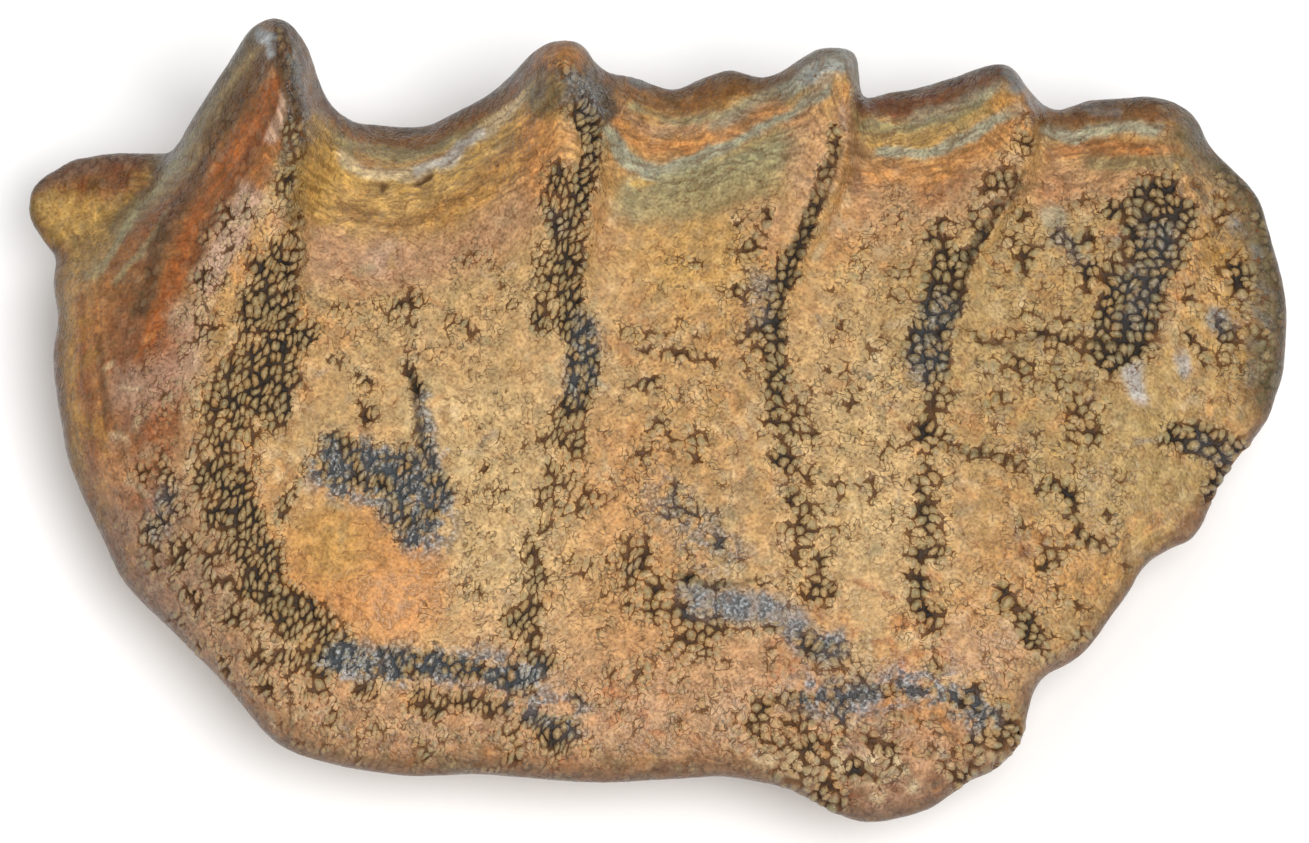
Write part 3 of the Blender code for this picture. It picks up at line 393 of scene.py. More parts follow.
# Nets of pores: strength, half width to the left and to the right of the line, softness, line.
# Each line runs down from the outer side, so its left is the right-hand side in the picture.
nets = (
    # first ridge
    (0.26, 0.3, 0.4, 0.25, ((-14.9, 15.6), (-14.4, 14), (-14.3, 12), (-14.5, 9))),
    (0.5, 0.35, 0.5, 0.35, ((-14.4, 11.6), (-14.4, 8.4))),
    (0.65, 0.3, 0.8, 0.5, ((-14.4, 9.6), (-14.5, 6.8))),
    (0.8, 0.3, 1.2, 0.6, ((-14.4, 7), (-14.4, 5))),
    (1.0, 0.3, 2.2, 0.8, ((-14.4, 4.8), (-14.4, 4), (-14.5, 1.6))),
    (0.8, 0.3, 2.6, 0.9, ((-14.8, 1.6), (-16, 0), (-16.2, -2.4))),
    (0.5, 0.9, 1.2, 0.8, ((-16.6, 8), (-17.6, 5.6), (-18, 3))),
    (0.6, 0.5, 0.6, 0.4, ((-19.6, -1.6), (-19.4, -3.6), (-20, -4.8))),
    (0.9, 1.1, 1.0, 0.6, ((-17.1, -2.2), (-16.2, -5), (-15.2, -6.9), (-13.9, -8.4), (-12.8, -9.2))),
    (0.55, 1.2, 1.6, 0.8, ((-18.6, -4), (-17.6, -6.8), (-16, -9), (-13.4, -10.4))),
    (0.95, 0.5, 0.6, 0.4, ((-13.2, -9.3), (-10.6, -9.6), (-8, -9.8), (-5.4, -10.2), (-4.6, -9.6))),
    (0.5, 0.6, 1.2, 0.8, ((-12.6, -10.2), (-9.6, -10.8), (-6.4, -10.8))),
    # cluster in the middle of the left half
    (1.0, 1.1, 1.1, 0.6, ((-12.6, -1.6), (-10.6, -2), (-9.2, -2.8))),
    (1.0, 1.0, 1.0, 0.6, ((-10.4, -2.6), (-9.6, -4))),
    (0.85, 0.25, 0.35, 0.25, ((-9.8, 2.4), (-9.4, 1), (-9.1, -1), (-8.9, -2.2))),
    (0.6, 0.4, 0.4, 0.3, ((-12.8, 2.6), (-11.6, 1.6), (-11.4, 0))),
    (0.55, 0.3, 0.3, 0.25, ((-13.6, -1.2), (-14.8, -3.4), (-15, -5))),
    # second ridge
    (0.3, 1.0, 1.0, 0.5, ((-3.4, 13.6), (-2.8, 12.6))),
    (1.0, 0.35, 0.6, 0.25, ((-2.6, 12.6), (-2.3, 10.8), (-2.9, 9.2))),
    (1.0, 0.4, 0.8, 0.3, ((-2.8, 9.4), (-3.1, 6.6), (-3.2, 4))),
    (0.7, 0.6, 0.9, 0.6, ((-3.7, 9.6), (-3.8, 6.6), (-4.1, 4.2))),
    (1.0, 0.6, 0.7, 0.3, ((-2.9, 3.8), (-2.8, 2.2), (-3.2, 0.6))),
    (0.65, 0.9, 0.8, 0.7, ((-3.4, 0.4), (-4, -2.8), (-4.4, -5.1), (-5.2, -7.2), (-5.6, -9.4))),
    (0.55, 0.6, 0.8, 0.5, ((-6.6, -9.8), (-6.2, -11.6))),
    (0.65, 1.0, 1.0, 0.7, ((-5.6, -12), (-3.8, -12.4))),
    # between the second and third ridges
    (0.65, 1.3, 1.3, 0.9, ((-0.6, -5.6), (0.6, -7.6), (2, -8.2))),
    (0.5, 1.0, 1.0, 0.8, ((0.6, -3), (2, -4.6))),
    (0.7, 0.3, 0.3, 0.2, ((1, -6.2), (3, -6.6), (4.4, -6.4))),
    (0.45, 0.3, 0.3, 0.3, ((-1.4, 3), (0.6, 2.9), (2.2, 2.4))),
    (0.45, 0.3, 0.3, 0.3, ((0.6, 6.4), (1.8, 6.2), (3, 6))),
    # third ridge
    (0.85, 0.3, 0.4, 0.2, ((7.4, 11.7), (6.9, 10.2), (6.5, 8.8), (5.9, 7.2), (5.3, 6))),
    (1.0, 0.35, 0.7, 0.3, ((5.4, 6), (5, 5), (4.9, 3), (5, 0.8))),
    (0.55, 0.3, 1.5, 0.8, ((4.6, 7.2), (4.2, 5.4), (4.4, 3.2))),
    (0.72, 0.5, 0.7, 0.45, ((5, 0.8), (5.4, -1.5), (6, -3.4), (6.3, -5.2), (6.8, -6.9))),
    (0.5, 1.1, 1.2, 0.7, ((5.2, 2), (5.8, -2), (6.4, -6))),
    # fourth ridge
    (0.6, 0.3, 1.0, 0.4, ((15, 11.3), (14.2, 9.6), (13.4, 8.2))),
    (0.85, 0.15, 0.5, 0.2, ((14.6, 9.6), (13.6, 8), (12.7, 6.2), (12.2, 4.2))),
    (1.0, 0.9, 1.0, 0.4, ((12, 6.4), (11.2, 4.4), (11, 2.4))),
    (0.7, 0.45, 0.55, 0.4, ((11.2, 2.2), (10.8, 0.2), (10.8, -1.6), (10.8, -4), (10.6, -6), (10.8, -8.6))),
    (0.5, 1.1, 1.1, 0.6, ((11, 1), (10.8, -4), (10.7, -8))),
    (0.45, 1.0, 1.2, 0.7, ((10.6, 7.4), (12, 7.6))),
    # crack and pores between the fourth and fifth ridges
    (0.75, 0.35, 0.35, 0.3, ((12.8, 3.3), (15.8, 3.4), (18.6, 3.3))),
    (0.45, 0.5, 0.5, 0.4, ((14.8, 6.8), (15.6, 5.2), (14.6, 4.4))),
    (0.6, 0.4, 0.4, 0.3, ((16.2, 7.4), (17, 6.8))),
    (0.5, 0.4, 0.4, 0.3, ((13.6, 1.4), (14.4, 0.8))),
    (0.6, 0.35, 0.35, 0.3, ((11.2, -1), (13.4, -1.4), (15.2, -2), (16.7, -3.1), (17, -4.4), (18.4, -5.2))),
    (0.5, 0.6, 0.6, 0.5, ((16.4, 1.6), (16.8, -0.6), (16.4, -2.6))),
    (0.75, 0.5, 0.6, 0.4, ((13.8, -6.8), (15, -8.2), (15.4, -9.2))),
    (0.6, 0.3, 0.3, 0.25, ((15.4, -8.4), (17.4, -8.6))),
    # fifth ridge
    (1.0, 1.0, 1.8, 0.6, ((20.4, 8.2), (19.9, 6.6), (19.4, 4.8), (18.9, 3.2))),
    (1.0, 0.5, 0.5, 0.3, ((18.4, 8.4), (20, 8.9), (21.3, 8.4), (21.1, 7), (20.4, 5.8))),
    (0.5, 0.8, 1.0, 0.6, ((18, 8), (17.4, 5.4), (17.2, 4))),
    (0.5, 1.0, 1.0, 0.7, ((23, 8), (23.4, 5), (23, 2.4))),
    (0.7, 0.4, 0.4, 0.3, ((23.2, 6.4), (23.6, 5.2))),
    (0.6, 0.5, 0.5, 0.4, ((21.4, 3.4), (22.4, 2.4), (23.6, 2.6))),
    (1.0, 0.7, 0.7, 0.5, ((20.8, -0.6), (22.2, -0.8), (23.4, -1.4), (22.6, -2.8))),
    # lobe at the front
    (0.65, 0.8, 0.8, 0.5, ((6.2, -8.8), (7.6, -10), (7, -11.6))),
    (0.7, 0.4, 0.4, 0.3, ((5.6, -11), (8, -11), (10, -10.6), (12.6, -11), (14.2, -12))),
    (0.6, 1.0, 1.0, 0.6, ((13, -11.4), (14, -12.6), (12.4, -13.6))),
    (0.6, 0.8, 0.8, 0.5, ((4.2, -11.6), (5, -13.4), (7, -14.8))),
    (0.5, 1.2, 1.2, 0.8, ((6.6, -12.8), (9, -13.2))),
)

# Sparse pores strewn over whole areas: strength, half width, softness, line.
strewn = (
    (0.43, 2.6, 1.2, ((16, 7), (15, 3), (16, -1), (16.6, -4.6))),
    (0.38, 2.4, 1.2, ((22.4, 8), (22.8, 3))),
    (0.43, 2.0, 1.2, ((10, 7.4), (8.6, 5), (8, 1), (8.4, -3))),
    (0.43, 2.4, 1.2, ((0.4, 3), (0.8, -2), (0.6, -6), (3.4, -8.4))),
    (0.38, 1.8, 1.0, ((-7, 5.6), (-7.4, 3.6), (-12, 4.2))),
    (0.38, 1.8, 1.2, ((-1.6, -1), (-2.6, -7), (-3.4, -12))),
    (0.43, 2.4, 1.2, ((-18.6, 1), (-19.4, -4), (-17, -8.4), (-12, -11.4), (-6, -11.8))),
    (0.38, 1.5, 1.0, ((-8, -8.2), (-6.4, -4.6), (-6.6, 0))),
    (0.6, 1.7, 1.0, ((5, -12.2), (8.4, -13.4))),
    (0.39, 2.6, 1.4, ((-1, -11), (3, -11.4))),
    (0.38, 1.6, 1.0, ((12.8, -7), (16, -7.6))),
    (0.3, 3.0, 1.2, ((5, -11), (9, -11.6), (12.4, -11.6))),
    (0.28, 1.6, 1.0, ((-17, -9), (-12, -12), (-4, -12.8), (3, -12.6))),
    (0.26, 2.0, 1.2, ((-1, -4), (0.43, -9))),
)

# Blue-grey mineral that fills the pores and films the surface: strength, half width, softness, line.
films = (
    (0.9, 1.3, 0.6, ((-12.6, -1.8), (-10, -2.4), (-9.2, -4))),
    (0.7, 0.3, 0.2, ((-9.2, 1), (-8.8, -2))),
    (0.85, 0.75, 0.4, ((-12.4, -9.3), (-10, -9.9), (-6.8, -9.7), (-5.2, -10.1))),
    (0.7, 0.8, 0.6, ((-5, -11), (-3.4, -11.8))),
    (0.6, 0.6, 0.4, ((-2.6, 3.8), (-3, 1.4))),
    (0.8, 0.6, 0.4, ((1.6, -7.2), (4.2, -7.4), (6, -8.6), (7.2, -9))),
    (0.5, 1.0, 0.8, ((0.6, -3.4), (2.6, -5))),
    (0.5, 0.5, 0.4, ((4.2, 5.6), (4.2, 3.8))),
    (0.5, 0.8, 0.5, ((11.4, 4.4), (10.8, 2.2))),
    (0.4, 0.9, 0.6, ((20.2, 7.4), (19.2, 4.6))),
    (0.85, 0.75, 0.4, ((6, -10.9), (8.4, -11.2), (10, -10.4), (11.6, -10.8), (13, -11.8))),
    (0.5, 0.5, 0.4, ((-19.6, -3), (-19.8, -4.4))),
    (0.6, 0.5, 0.4, ((22.8, 3.9),)),
    (0.5, 0.5, 0.4, ((21.6, -0.8), (23.4, -1.6))),
    (0.5, 0.6, 0.4, ((-3.2, 13.6), (-2.4, 12.8))),
    (0.4, 0.5, 0.4, ((16.4, 7.4), (16.9, 6.6))),
    (0.4, 0.5, 0.4, ((8.9, 2), (9.4, 1))),
)


# Slow noise over the crown and the bone, one value per place, about -1 to 1.
def slowNoise(size, octaves, seed):
    out = np.empty(len(spots))
    for i, spot in enumerate(spots / size):
        out[i] = noise.fractal(Vector((spot[0] + seed, spot[1], spot[2])), 1.0, 2.0, octaves)
    return out


# Uneven staining of the dentine: colour, patch size in mm, share at its strongest.
stains = (("orange", 1.9, 0.6), ("pinkTan", 1.3, 0.5), ("oliveGrey", 2.4, 0.35), ("rust", 0.8, 0.3), ("cream", 0.7, 0.45))

colour = np.tile(linear("ochre"), (len(across), 1))
for name, size, most in stains:
    share = most * fade(slowNoise(size, 3, 10 * size), 0.05, 0.7)[:, None]
    colour = colour * (1 - share) + share * np.array(linear(name))
for name, strength, width, soft, line in strokes:
    share = strength * strokeShare(line, width, width, soft)[:, None]
    colour = colour * (1 - share) + share * np.array(linear(name))
net = np.zeros(len(across))
for strength, left, right, soft, line in nets:
    net = np.maximum(net, strength * strokeShare(line, left, right, soft))
patches = 0.55 + 0.45 * fade(slowNoise(1.3, 3, 44.0), -0.35, 0.35)
for strength, width, soft, line in strewn:
    net = np.maximum(net, strength * patches * strokeShare(line, width, width, soft))
film = np.zeros(len(across))
for strength, width, soft, line in films:
    film = np.maximum(film, strength * strokeShare(line, width, width, soft))
patchy = slowNoise(0.9, 2, 5.0)
net = np.clip(net + 0.5 * patchy * fade(net, 0.0, 0.35), 0, 1)
film = film * fade(slowNoise(0.8, 3, 71.0), -0.6, -0.1)

# The colour turns darker olive along the lanes of pores, and the flecks lie over all of it.
colour = colour + (0.65 * fade(net, 0.45, 0.95))[:, None] * (np.array(linear("darkOlive")) - colour)
dice = random.Random(5)
for name, count, strength, width, line, spread in flecks:
    for _ in range(count):
        i = dice.randrange(len(line) - 1) if len(line) > 1 else 0
        part = dice.random()
        ends = line[i], line[min(i + 1, len(line) - 1)]
        middle = [ends[0][k] + part * (ends[1][k] - ends[0][k]) + dice.gauss(0, spread) for k in (0, 1)]
        turn, length = dice.uniform(0, math.pi), dice.uniform(0.1, 0.45)
        half = length * math.cos(turn), length * math.sin(turn)
        mark = ((middle[0] - half[0], middle[1] - half[1]), (middle[0] + half[0], middle[1] + half[1]))
        wide = width * dice.uniform(0.6, 1.4)
        share = strength * dice.uniform(0.5, 1.0) * strokeShare(mark, wide, wide, 0.8 * wide)[:, None]
        colour = colour * (1 - share) + share * np.array(linear(name))
print("paint laid")

# Islands between pores are long scales on the left ridges and round pebbles on the others. Their
# coordinates are the sketch's, warped a little and counted in islands.
pores = {"warpSize": 0.9, "warp": 0.22, "pebble": 0.41, "scale": 0.3, "slant": -1.4, "scalesEnd": -0.6,
         "closed": -0.23, "open": 0.062, "vary": 0.03, "edge": 0.07}


def islandPlaces():
    moved = np.column_stack((across, up, np.zeros(len(across))))
    for i in np.flatnonzero(crown > 0):
        shift = noise.noise_vector(Vector((across[i] / pores["warpSize"], up[i] / pores["warpSize"], 31.0)))
        moved[i, 0] += shift[0] * pores["warp"]
        moved[i, 1] += shift[1] * pores["warp"]
    leftward = np.minimum(moved[:, 0] - pores["scalesEnd"], 0)
    moved = moved / pores["pebble"]
    moved[:, 0] += leftward * (1 / pores["scale"] - 1 / pores["pebble"])
    moved[:, 1] += leftward * pores["slant"]
    return moved


# Continuous dark grooves and pits: strength, half width, softness, line.
cuts = (
    (0.6, 0.09, 0.1, ((12.9, 3.3), (14.2, 3.15), (15.2, 3.35), (16.4, 3.3), (17.4, 3.1), (18.9, 3.3))),
    (0.7, 0.1, 0.1, ((7.5, 11), (7, 9.6), (6.5, 8.4), (5.8, 6.9), (5.2, 5.4), (4.9, 3.8))),
    (0.55, 0.09, 0.1, ((7, 10.8), (6.5, 9.4), (6, 8.2), (5.3, 6.8))),
    (0.75, 0.1, 0.1, ((14.7, 10), (13.8, 8.4), (12.9, 6.9), (12.2, 5.2), (11.9, 3.8))),
    (0.7, 0.09, 0.1, ((14.3, 9.8), (13.4, 8.2), (12.5, 6.5))),
    (0.8, 0.14, 0.12, ((-9.8, 1.9), (-9.5, 0.8), (-9.2, -0.6))),
    (1.0, 0.17, 0.14, ((-10.95, 9.3), (-10.85, 9.45))),
    (1.0, 0.16, 0.14, ((-9.5, 9.62), (-9.0, 9.88))),
    (0.5, 0.08, 0.1, ((0.8, -6.1), (2.4, -6.5), (4.2, -6.3))),
    (0.55, 0.08, 0.1, ((11.2, -1), (13.4, -1.4), (15.2, -2))),
)

cut = np.zeros(len(across))
for strength, width, soft, line in cuts:
    cut = np.maximum(cut, strength * strokeShare(line, width, width, soft))

# The crown's outline on the sketch: the farthest places up and down, and to the left and right.
outline = {"step": 0.2, "reach": 26.0}


def outlinePlaces():
    found = []
    slots = int(2 * outline["reach"] / outline["step"])
    for along, out, sign in ((across, up, 1), (across, up, -1), (up, across, 1), (up, across, -1)):
        slot = ((along + outline["reach"]) / outline["step"]).astype(int)
        edge = np.full(slots, -np.inf)
        np.maximum.at(edge, slot, sign * out)
        for i in np.flatnonzero(np.isfinite(edge)):
            place = (i + 0.5) * outline["step"] - outline["reach"]
            found.append((place, sign * edge[i], 0) if along is across else (sign * edge[i], place, 0))
    return found


def treeOf(points):
    tree = kdtree.KDTree(len(points))
    for i, point in enumerate(points):
        tree.insert(point, i)
    tree.balance()
    return tree


edges = treeOf(outlinePlaces())
inward = np.full(len(across), 9.0)
for i in np.flatnonzero(crown > 0):
    inward[i] = edges.find((across[i], up[i], 0))[2]
outerSide = fade(up, 5.5, 8.5) * fade(across, -26, -23)
leftSide = fade(-across, 17.5, 20) * fade(up, -6, -2)
grown = np.maximum(outerSide * (1 - fade(inward, 3.6, 5.2)), 0.6 * leftSide * (1 - fade(inward, 2.6, 4.4)))
grown = np.maximum(grown, 0.6 * (1 - fade(inward, 0.6, 2.2))) * (1 - 0.8 * net)
# painted shade: the colour darkens within 0.9 mm of the crown's outline, and a little more over 2.5 mm, where the
# surface turns away from the light
paintedEdgeShade = 1 - 0.5 * (1 - fade(inward, 0.0, 0.9)) - 0.12 * (1 - fade(inward, 0.5, 2.5))
colour = colour * paintedEdgeShade[:, None]

# Bone starts a little below the crown's rim.
rim = treeOf(spots[crown > 0.6][::5])
bone = np.zeros(len(across))
for i in np.flatnonzero(crown < 0.6):
    bone[i] = rim.find(spots[i])[2]
bone = fade(bone, 0.5, 1.9)
knob = fade(-across, 20.6, 22.4) * fade(up, 7.2, 8.2)
grown = grown * (1 - 0.7 * knob)

store(plate, "tone", np.column_stack((colour, np.ones(len(colour)))), "FLOAT_COLOR")
store(plate, "island", islandPlaces(), "FLOAT_VECTOR")
store(plate, "dirt", fade(slowNoise(0.8, 2, 12.0), -0.2, 0.5))
store(plate, "net", net)
store(plate, "film", film)
store(plate, "cut", cut)
store(plate, "patch", np.clip(0.5 + 0.5 * slowNoise(0.45, 3, 51.0), 0, 1))
store(plate, "inward", inward)
store(plate, "grown", grown)
store(plate, "bone", bone)
store(plate, "knob", knob)
store(plate, "crown", crown)
print("attributes stored")


# Node helpers

def feed(tree, socket, value):
    if isinstance(value, bpy.types.NodeSocket):
        tree.links.new(value, socket)
    else:
        socket.default_value = value


def addNode(tree, kind, inputs=None, **settings):
    node = tree.nodes.new(kind)
    for name, value in settings.items():
        setattr(node, name, value)
    for key, value in (inputs or {}).items():
        feed(tree, node.inputs[key], value)
    return node


def maths(tree, operation, first, second=0.0, third=0.0):
    inputs = {0: first, 1: second, 2: third}
    return addNode(tree, "ShaderNodeMath", inputs, operation=operation).outputs[0]


def soften(tree, value, low, high, start=0.0, end=1.0):
    inputs = {0: value, 1: low, 2: high, 3: start, 4: end}
    return addNode(tree, "ShaderNodeMapRange", inputs, interpolation_type="SMOOTHSTEP").outputs[0]


def ranged(tree, value, low, high, start, end):
    return addNode(tree, "ShaderNodeMapRange", {0: value, 1: low, 2: high, 3: start, 4: end}).outputs[0]


def vectors(tree, operation, first, second):
    return addNode(tree, "ShaderNodeVectorMath", {0: first, 1: second}, operation=operation).outputs[0]


def mixed(tree, share, first, second, blend="MIX"):
    node = addNode(tree, "ShaderNodeMix", data_type="RGBA", blend_type=blend)
    feed(tree, node.inputs[0], share)
    feed(tree, node.inputs[6], first)
    feed(tree, node.inputs[7], second)
    return node.outputs[2]


# Object position in metres to the sketch's across and up, in mm.
def sketchPlace(tree, position):
    lean = sketch["lean"]
    acrossDot = addNode(tree, "ShaderNodeVectorMath", {0: position, 1: (1000, 0, 0)}, operation="DOT_PRODUCT")
    rise = (0, 1000 * math.cos(lean), 1000 * math.sin(lean))
    upDot = addNode(tree, "ShaderNodeVectorMath", {0: position, 1: rise}, operation="DOT_PRODUCT")
    u = maths(tree, "ADD", acrossDot.outputs["Value"], sketch["middleX"])
    shift = sketch["middleY"] * math.cos(lean) - sketch["height"] * math.sin(lean)
    v = maths(tree, "ADD", upDot.outputs["Value"], shift)
    return addNode(tree, "ShaderNodeCombineXYZ", {0: u, 1: v}).outputs[0]


# Islands between pores: how far inside its island each place is, rounded at the corners, and two shades.
def islands(tree, place):
    inputs = {"Vector": place, "Scale": 1.0, "Randomness": 0.85}
    border = addNode(tree, "ShaderNodeTexVoronoi", inputs, voronoi_dimensions="2D", feature="DISTANCE_TO_EDGE")
    middle = addNode(tree, "ShaderNodeTexVoronoi", inputs, voronoi_dimensions="2D", feature="F1")
    inside = maths(tree, "SUBTRACT", maths(tree, "ADD", border.outputs["Distance"], 0.48), middle.outputs["Distance"])
    shade = addNode(tree, "ShaderNodeSeparateXYZ", {0: middle.outputs["Color"]})
    return maths(tree, "MULTIPLY", inside, 0.5), shade.outputs[0], shade.outputs[1], shade.outputs[2]


# How deep into a pore each place is, from 0 on the islands to 1 in the open pore. Islands differ in size.
def poreShare(tree, inside, strength, own):
    gap = soften(tree, strength, 0.0, 0.8, pores["closed"], pores["open"])
    gap = maths(tree, "ADD", gap, ranged(tree, own, 0.0, 1.0, -pores["vary"], pores["vary"]))
    low = maths(tree, "SUBTRACT", gap, pores["edge"])
    high = maths(tree, "ADD", gap, pores["edge"])
    return soften(tree, inside, high, low)


# Relief that follows the painted fields, as real geometry.

relief = {"poreDepth": 0.16, "cutDepth": 0.15, "islandDome": 0.07, "swell": 0.08, "grit": 0.03, "growthLines": 0.04,
          "boneRough": 0.22}


def reliefTree():
    tree = bpy.data.node_groups.new("toothRelief", "GeometryNodeTree")
    tree.interface.new_socket("Geometry", in_out="INPUT", socket_type="NodeSocketGeometry")
    for name in relief:
        tree.interface.new_socket(name, in_out="INPUT", socket_type="NodeSocketFloat")
    tree.interface.new_socket("Material", in_out="INPUT", socket_type="NodeSocketMaterial")
    tree.interface.new_socket("Geometry", in_out="OUTPUT", socket_type="NodeSocketGeometry")
    source = tree.nodes.new("NodeGroupInput")
    result = tree.nodes.new("NodeGroupOutput")

    def field(name):
        return addNode(tree, "GeometryNodeInputNamedAttribute", {"Name": name}, data_type="FLOAT").outputs[0]

    position = tree.nodes.new("GeometryNodeInputPosition").outputs[0]
    place = sketchPlace(tree, position)
    solid = vectors(tree, "MULTIPLY", position, (1000, 1000, 1000))
    strength = field("net")
    cells = addNode(tree, "GeometryNodeInputNamedAttribute", {"Name": "island"}, data_type="FLOAT_VECTOR").outputs[0]
    inside, shade, own, third = islands(tree, cells)
    pore = poreShare(tree, inside, strength, own)
    dig = maths(tree, "MULTIPLY", pore, maths(tree, "MULTIPLY", source.outputs["poreDepth"], soften(tree, strength, 0.1, 0.8)))
    dome = maths(tree, "MULTIPLY", soften(tree, inside, 0.0, 0.4), source.outputs["islandDome"])
    dome = maths(tree, "MULTIPLY", dome, soften(tree, strength, 0.15, 0.6))

    def rough(size, detail, seed):
        moved = vectors(tree, "ADD", solid, (seed, seed, seed))
        made = addNode(tree, "ShaderNodeTexNoise", {"Vector": moved, "Scale": 1 / size, "Detail": detail})
        return maths(tree, "SUBTRACT", made.outputs[0], 0.5)

    swell = maths(tree, "MULTIPLY", rough(1.6, 2.0, 3.0), source.outputs["swell"])
    grit = maths(tree, "MULTIPLY", rough(0.32, 2.0, 9.0), source.outputs["grit"])
    lines = addNode(tree, "ShaderNodeSeparateXYZ", {0: place}).outputs[0]
    streak = addNode(tree, "ShaderNodeCombineXYZ", {0: maths(tree, "MULTIPLY", field("inward"), 3.2),
                                                    1: maths(tree, "MULTIPLY", lines, 0.35)}).outputs[0]
    streak = addNode(tree, "ShaderNodeTexNoise", {"Vector": streak, "Scale": 1.0, "Detail": 3.0}).outputs[0]
    streak = maths(tree, "MULTIPLY", maths(tree, "SUBTRACT", streak, 0.5), source.outputs["growthLines"])
    streak = maths(tree, "MULTIPLY", streak, field("grown"))
    bony = maths(tree, "MAXIMUM", field("bone"), maths(tree, "MULTIPLY", field("knob"), 0.6))
    spongy = maths(tree, "MULTIPLY", rough(0.9, 4.0, 17.0), source.outputs["boneRough"])
    spongy = maths(tree, "MULTIPLY", spongy, bony)
    height = maths(tree, "SUBTRACT", dome, dig)
    height = maths(tree, "SUBTRACT", height, maths(tree, "MULTIPLY", field("cut"), source.outputs["cutDepth"]))
    for part in (swell, grit, streak, spongy):
        height = maths(tree, "ADD", height, part)
    # nothing is raised or dug where the plate rests
    above = addNode(tree, "ShaderNodeSeparateXYZ", {0: solid}).outputs[2]
    height = maths(tree, "MULTIPLY", height, soften(tree, above, 0.05, 0.8, 0.0, 0.001))
    normal = tree.nodes.new("GeometryNodeInputNormal").outputs[0]
    offset = addNode(tree, "ShaderNodeVectorMath", {0: normal, "Scale": height}, operation="SCALE").outputs[0]
    moved = addNode(tree, "GeometryNodeSetPosition", {"Geometry": source.outputs["Geometry"], "Offset": offset})
    real = addNode(tree, "GeometryNodeRealizeInstances", {0: moved.outputs[0]})
    dressed = addNode(tree, "GeometryNodeSetMaterial", {0: real.outputs[0], "Material": source.outputs["Material"]})
    tree.links.new(dressed.outputs[0], result.inputs[0])
    return tree


# Material: mineralised dentine. It gives the eye a warm semi-gloss skin, near-black pores between
# pale islands along the ridges, fine growth lines under the cusps and matt bone below.
finish = {"specular": 0.3, "gloss": 0.34, "poreGloss": 0.62, "boneGloss": 0.75, "bump": 0.65}


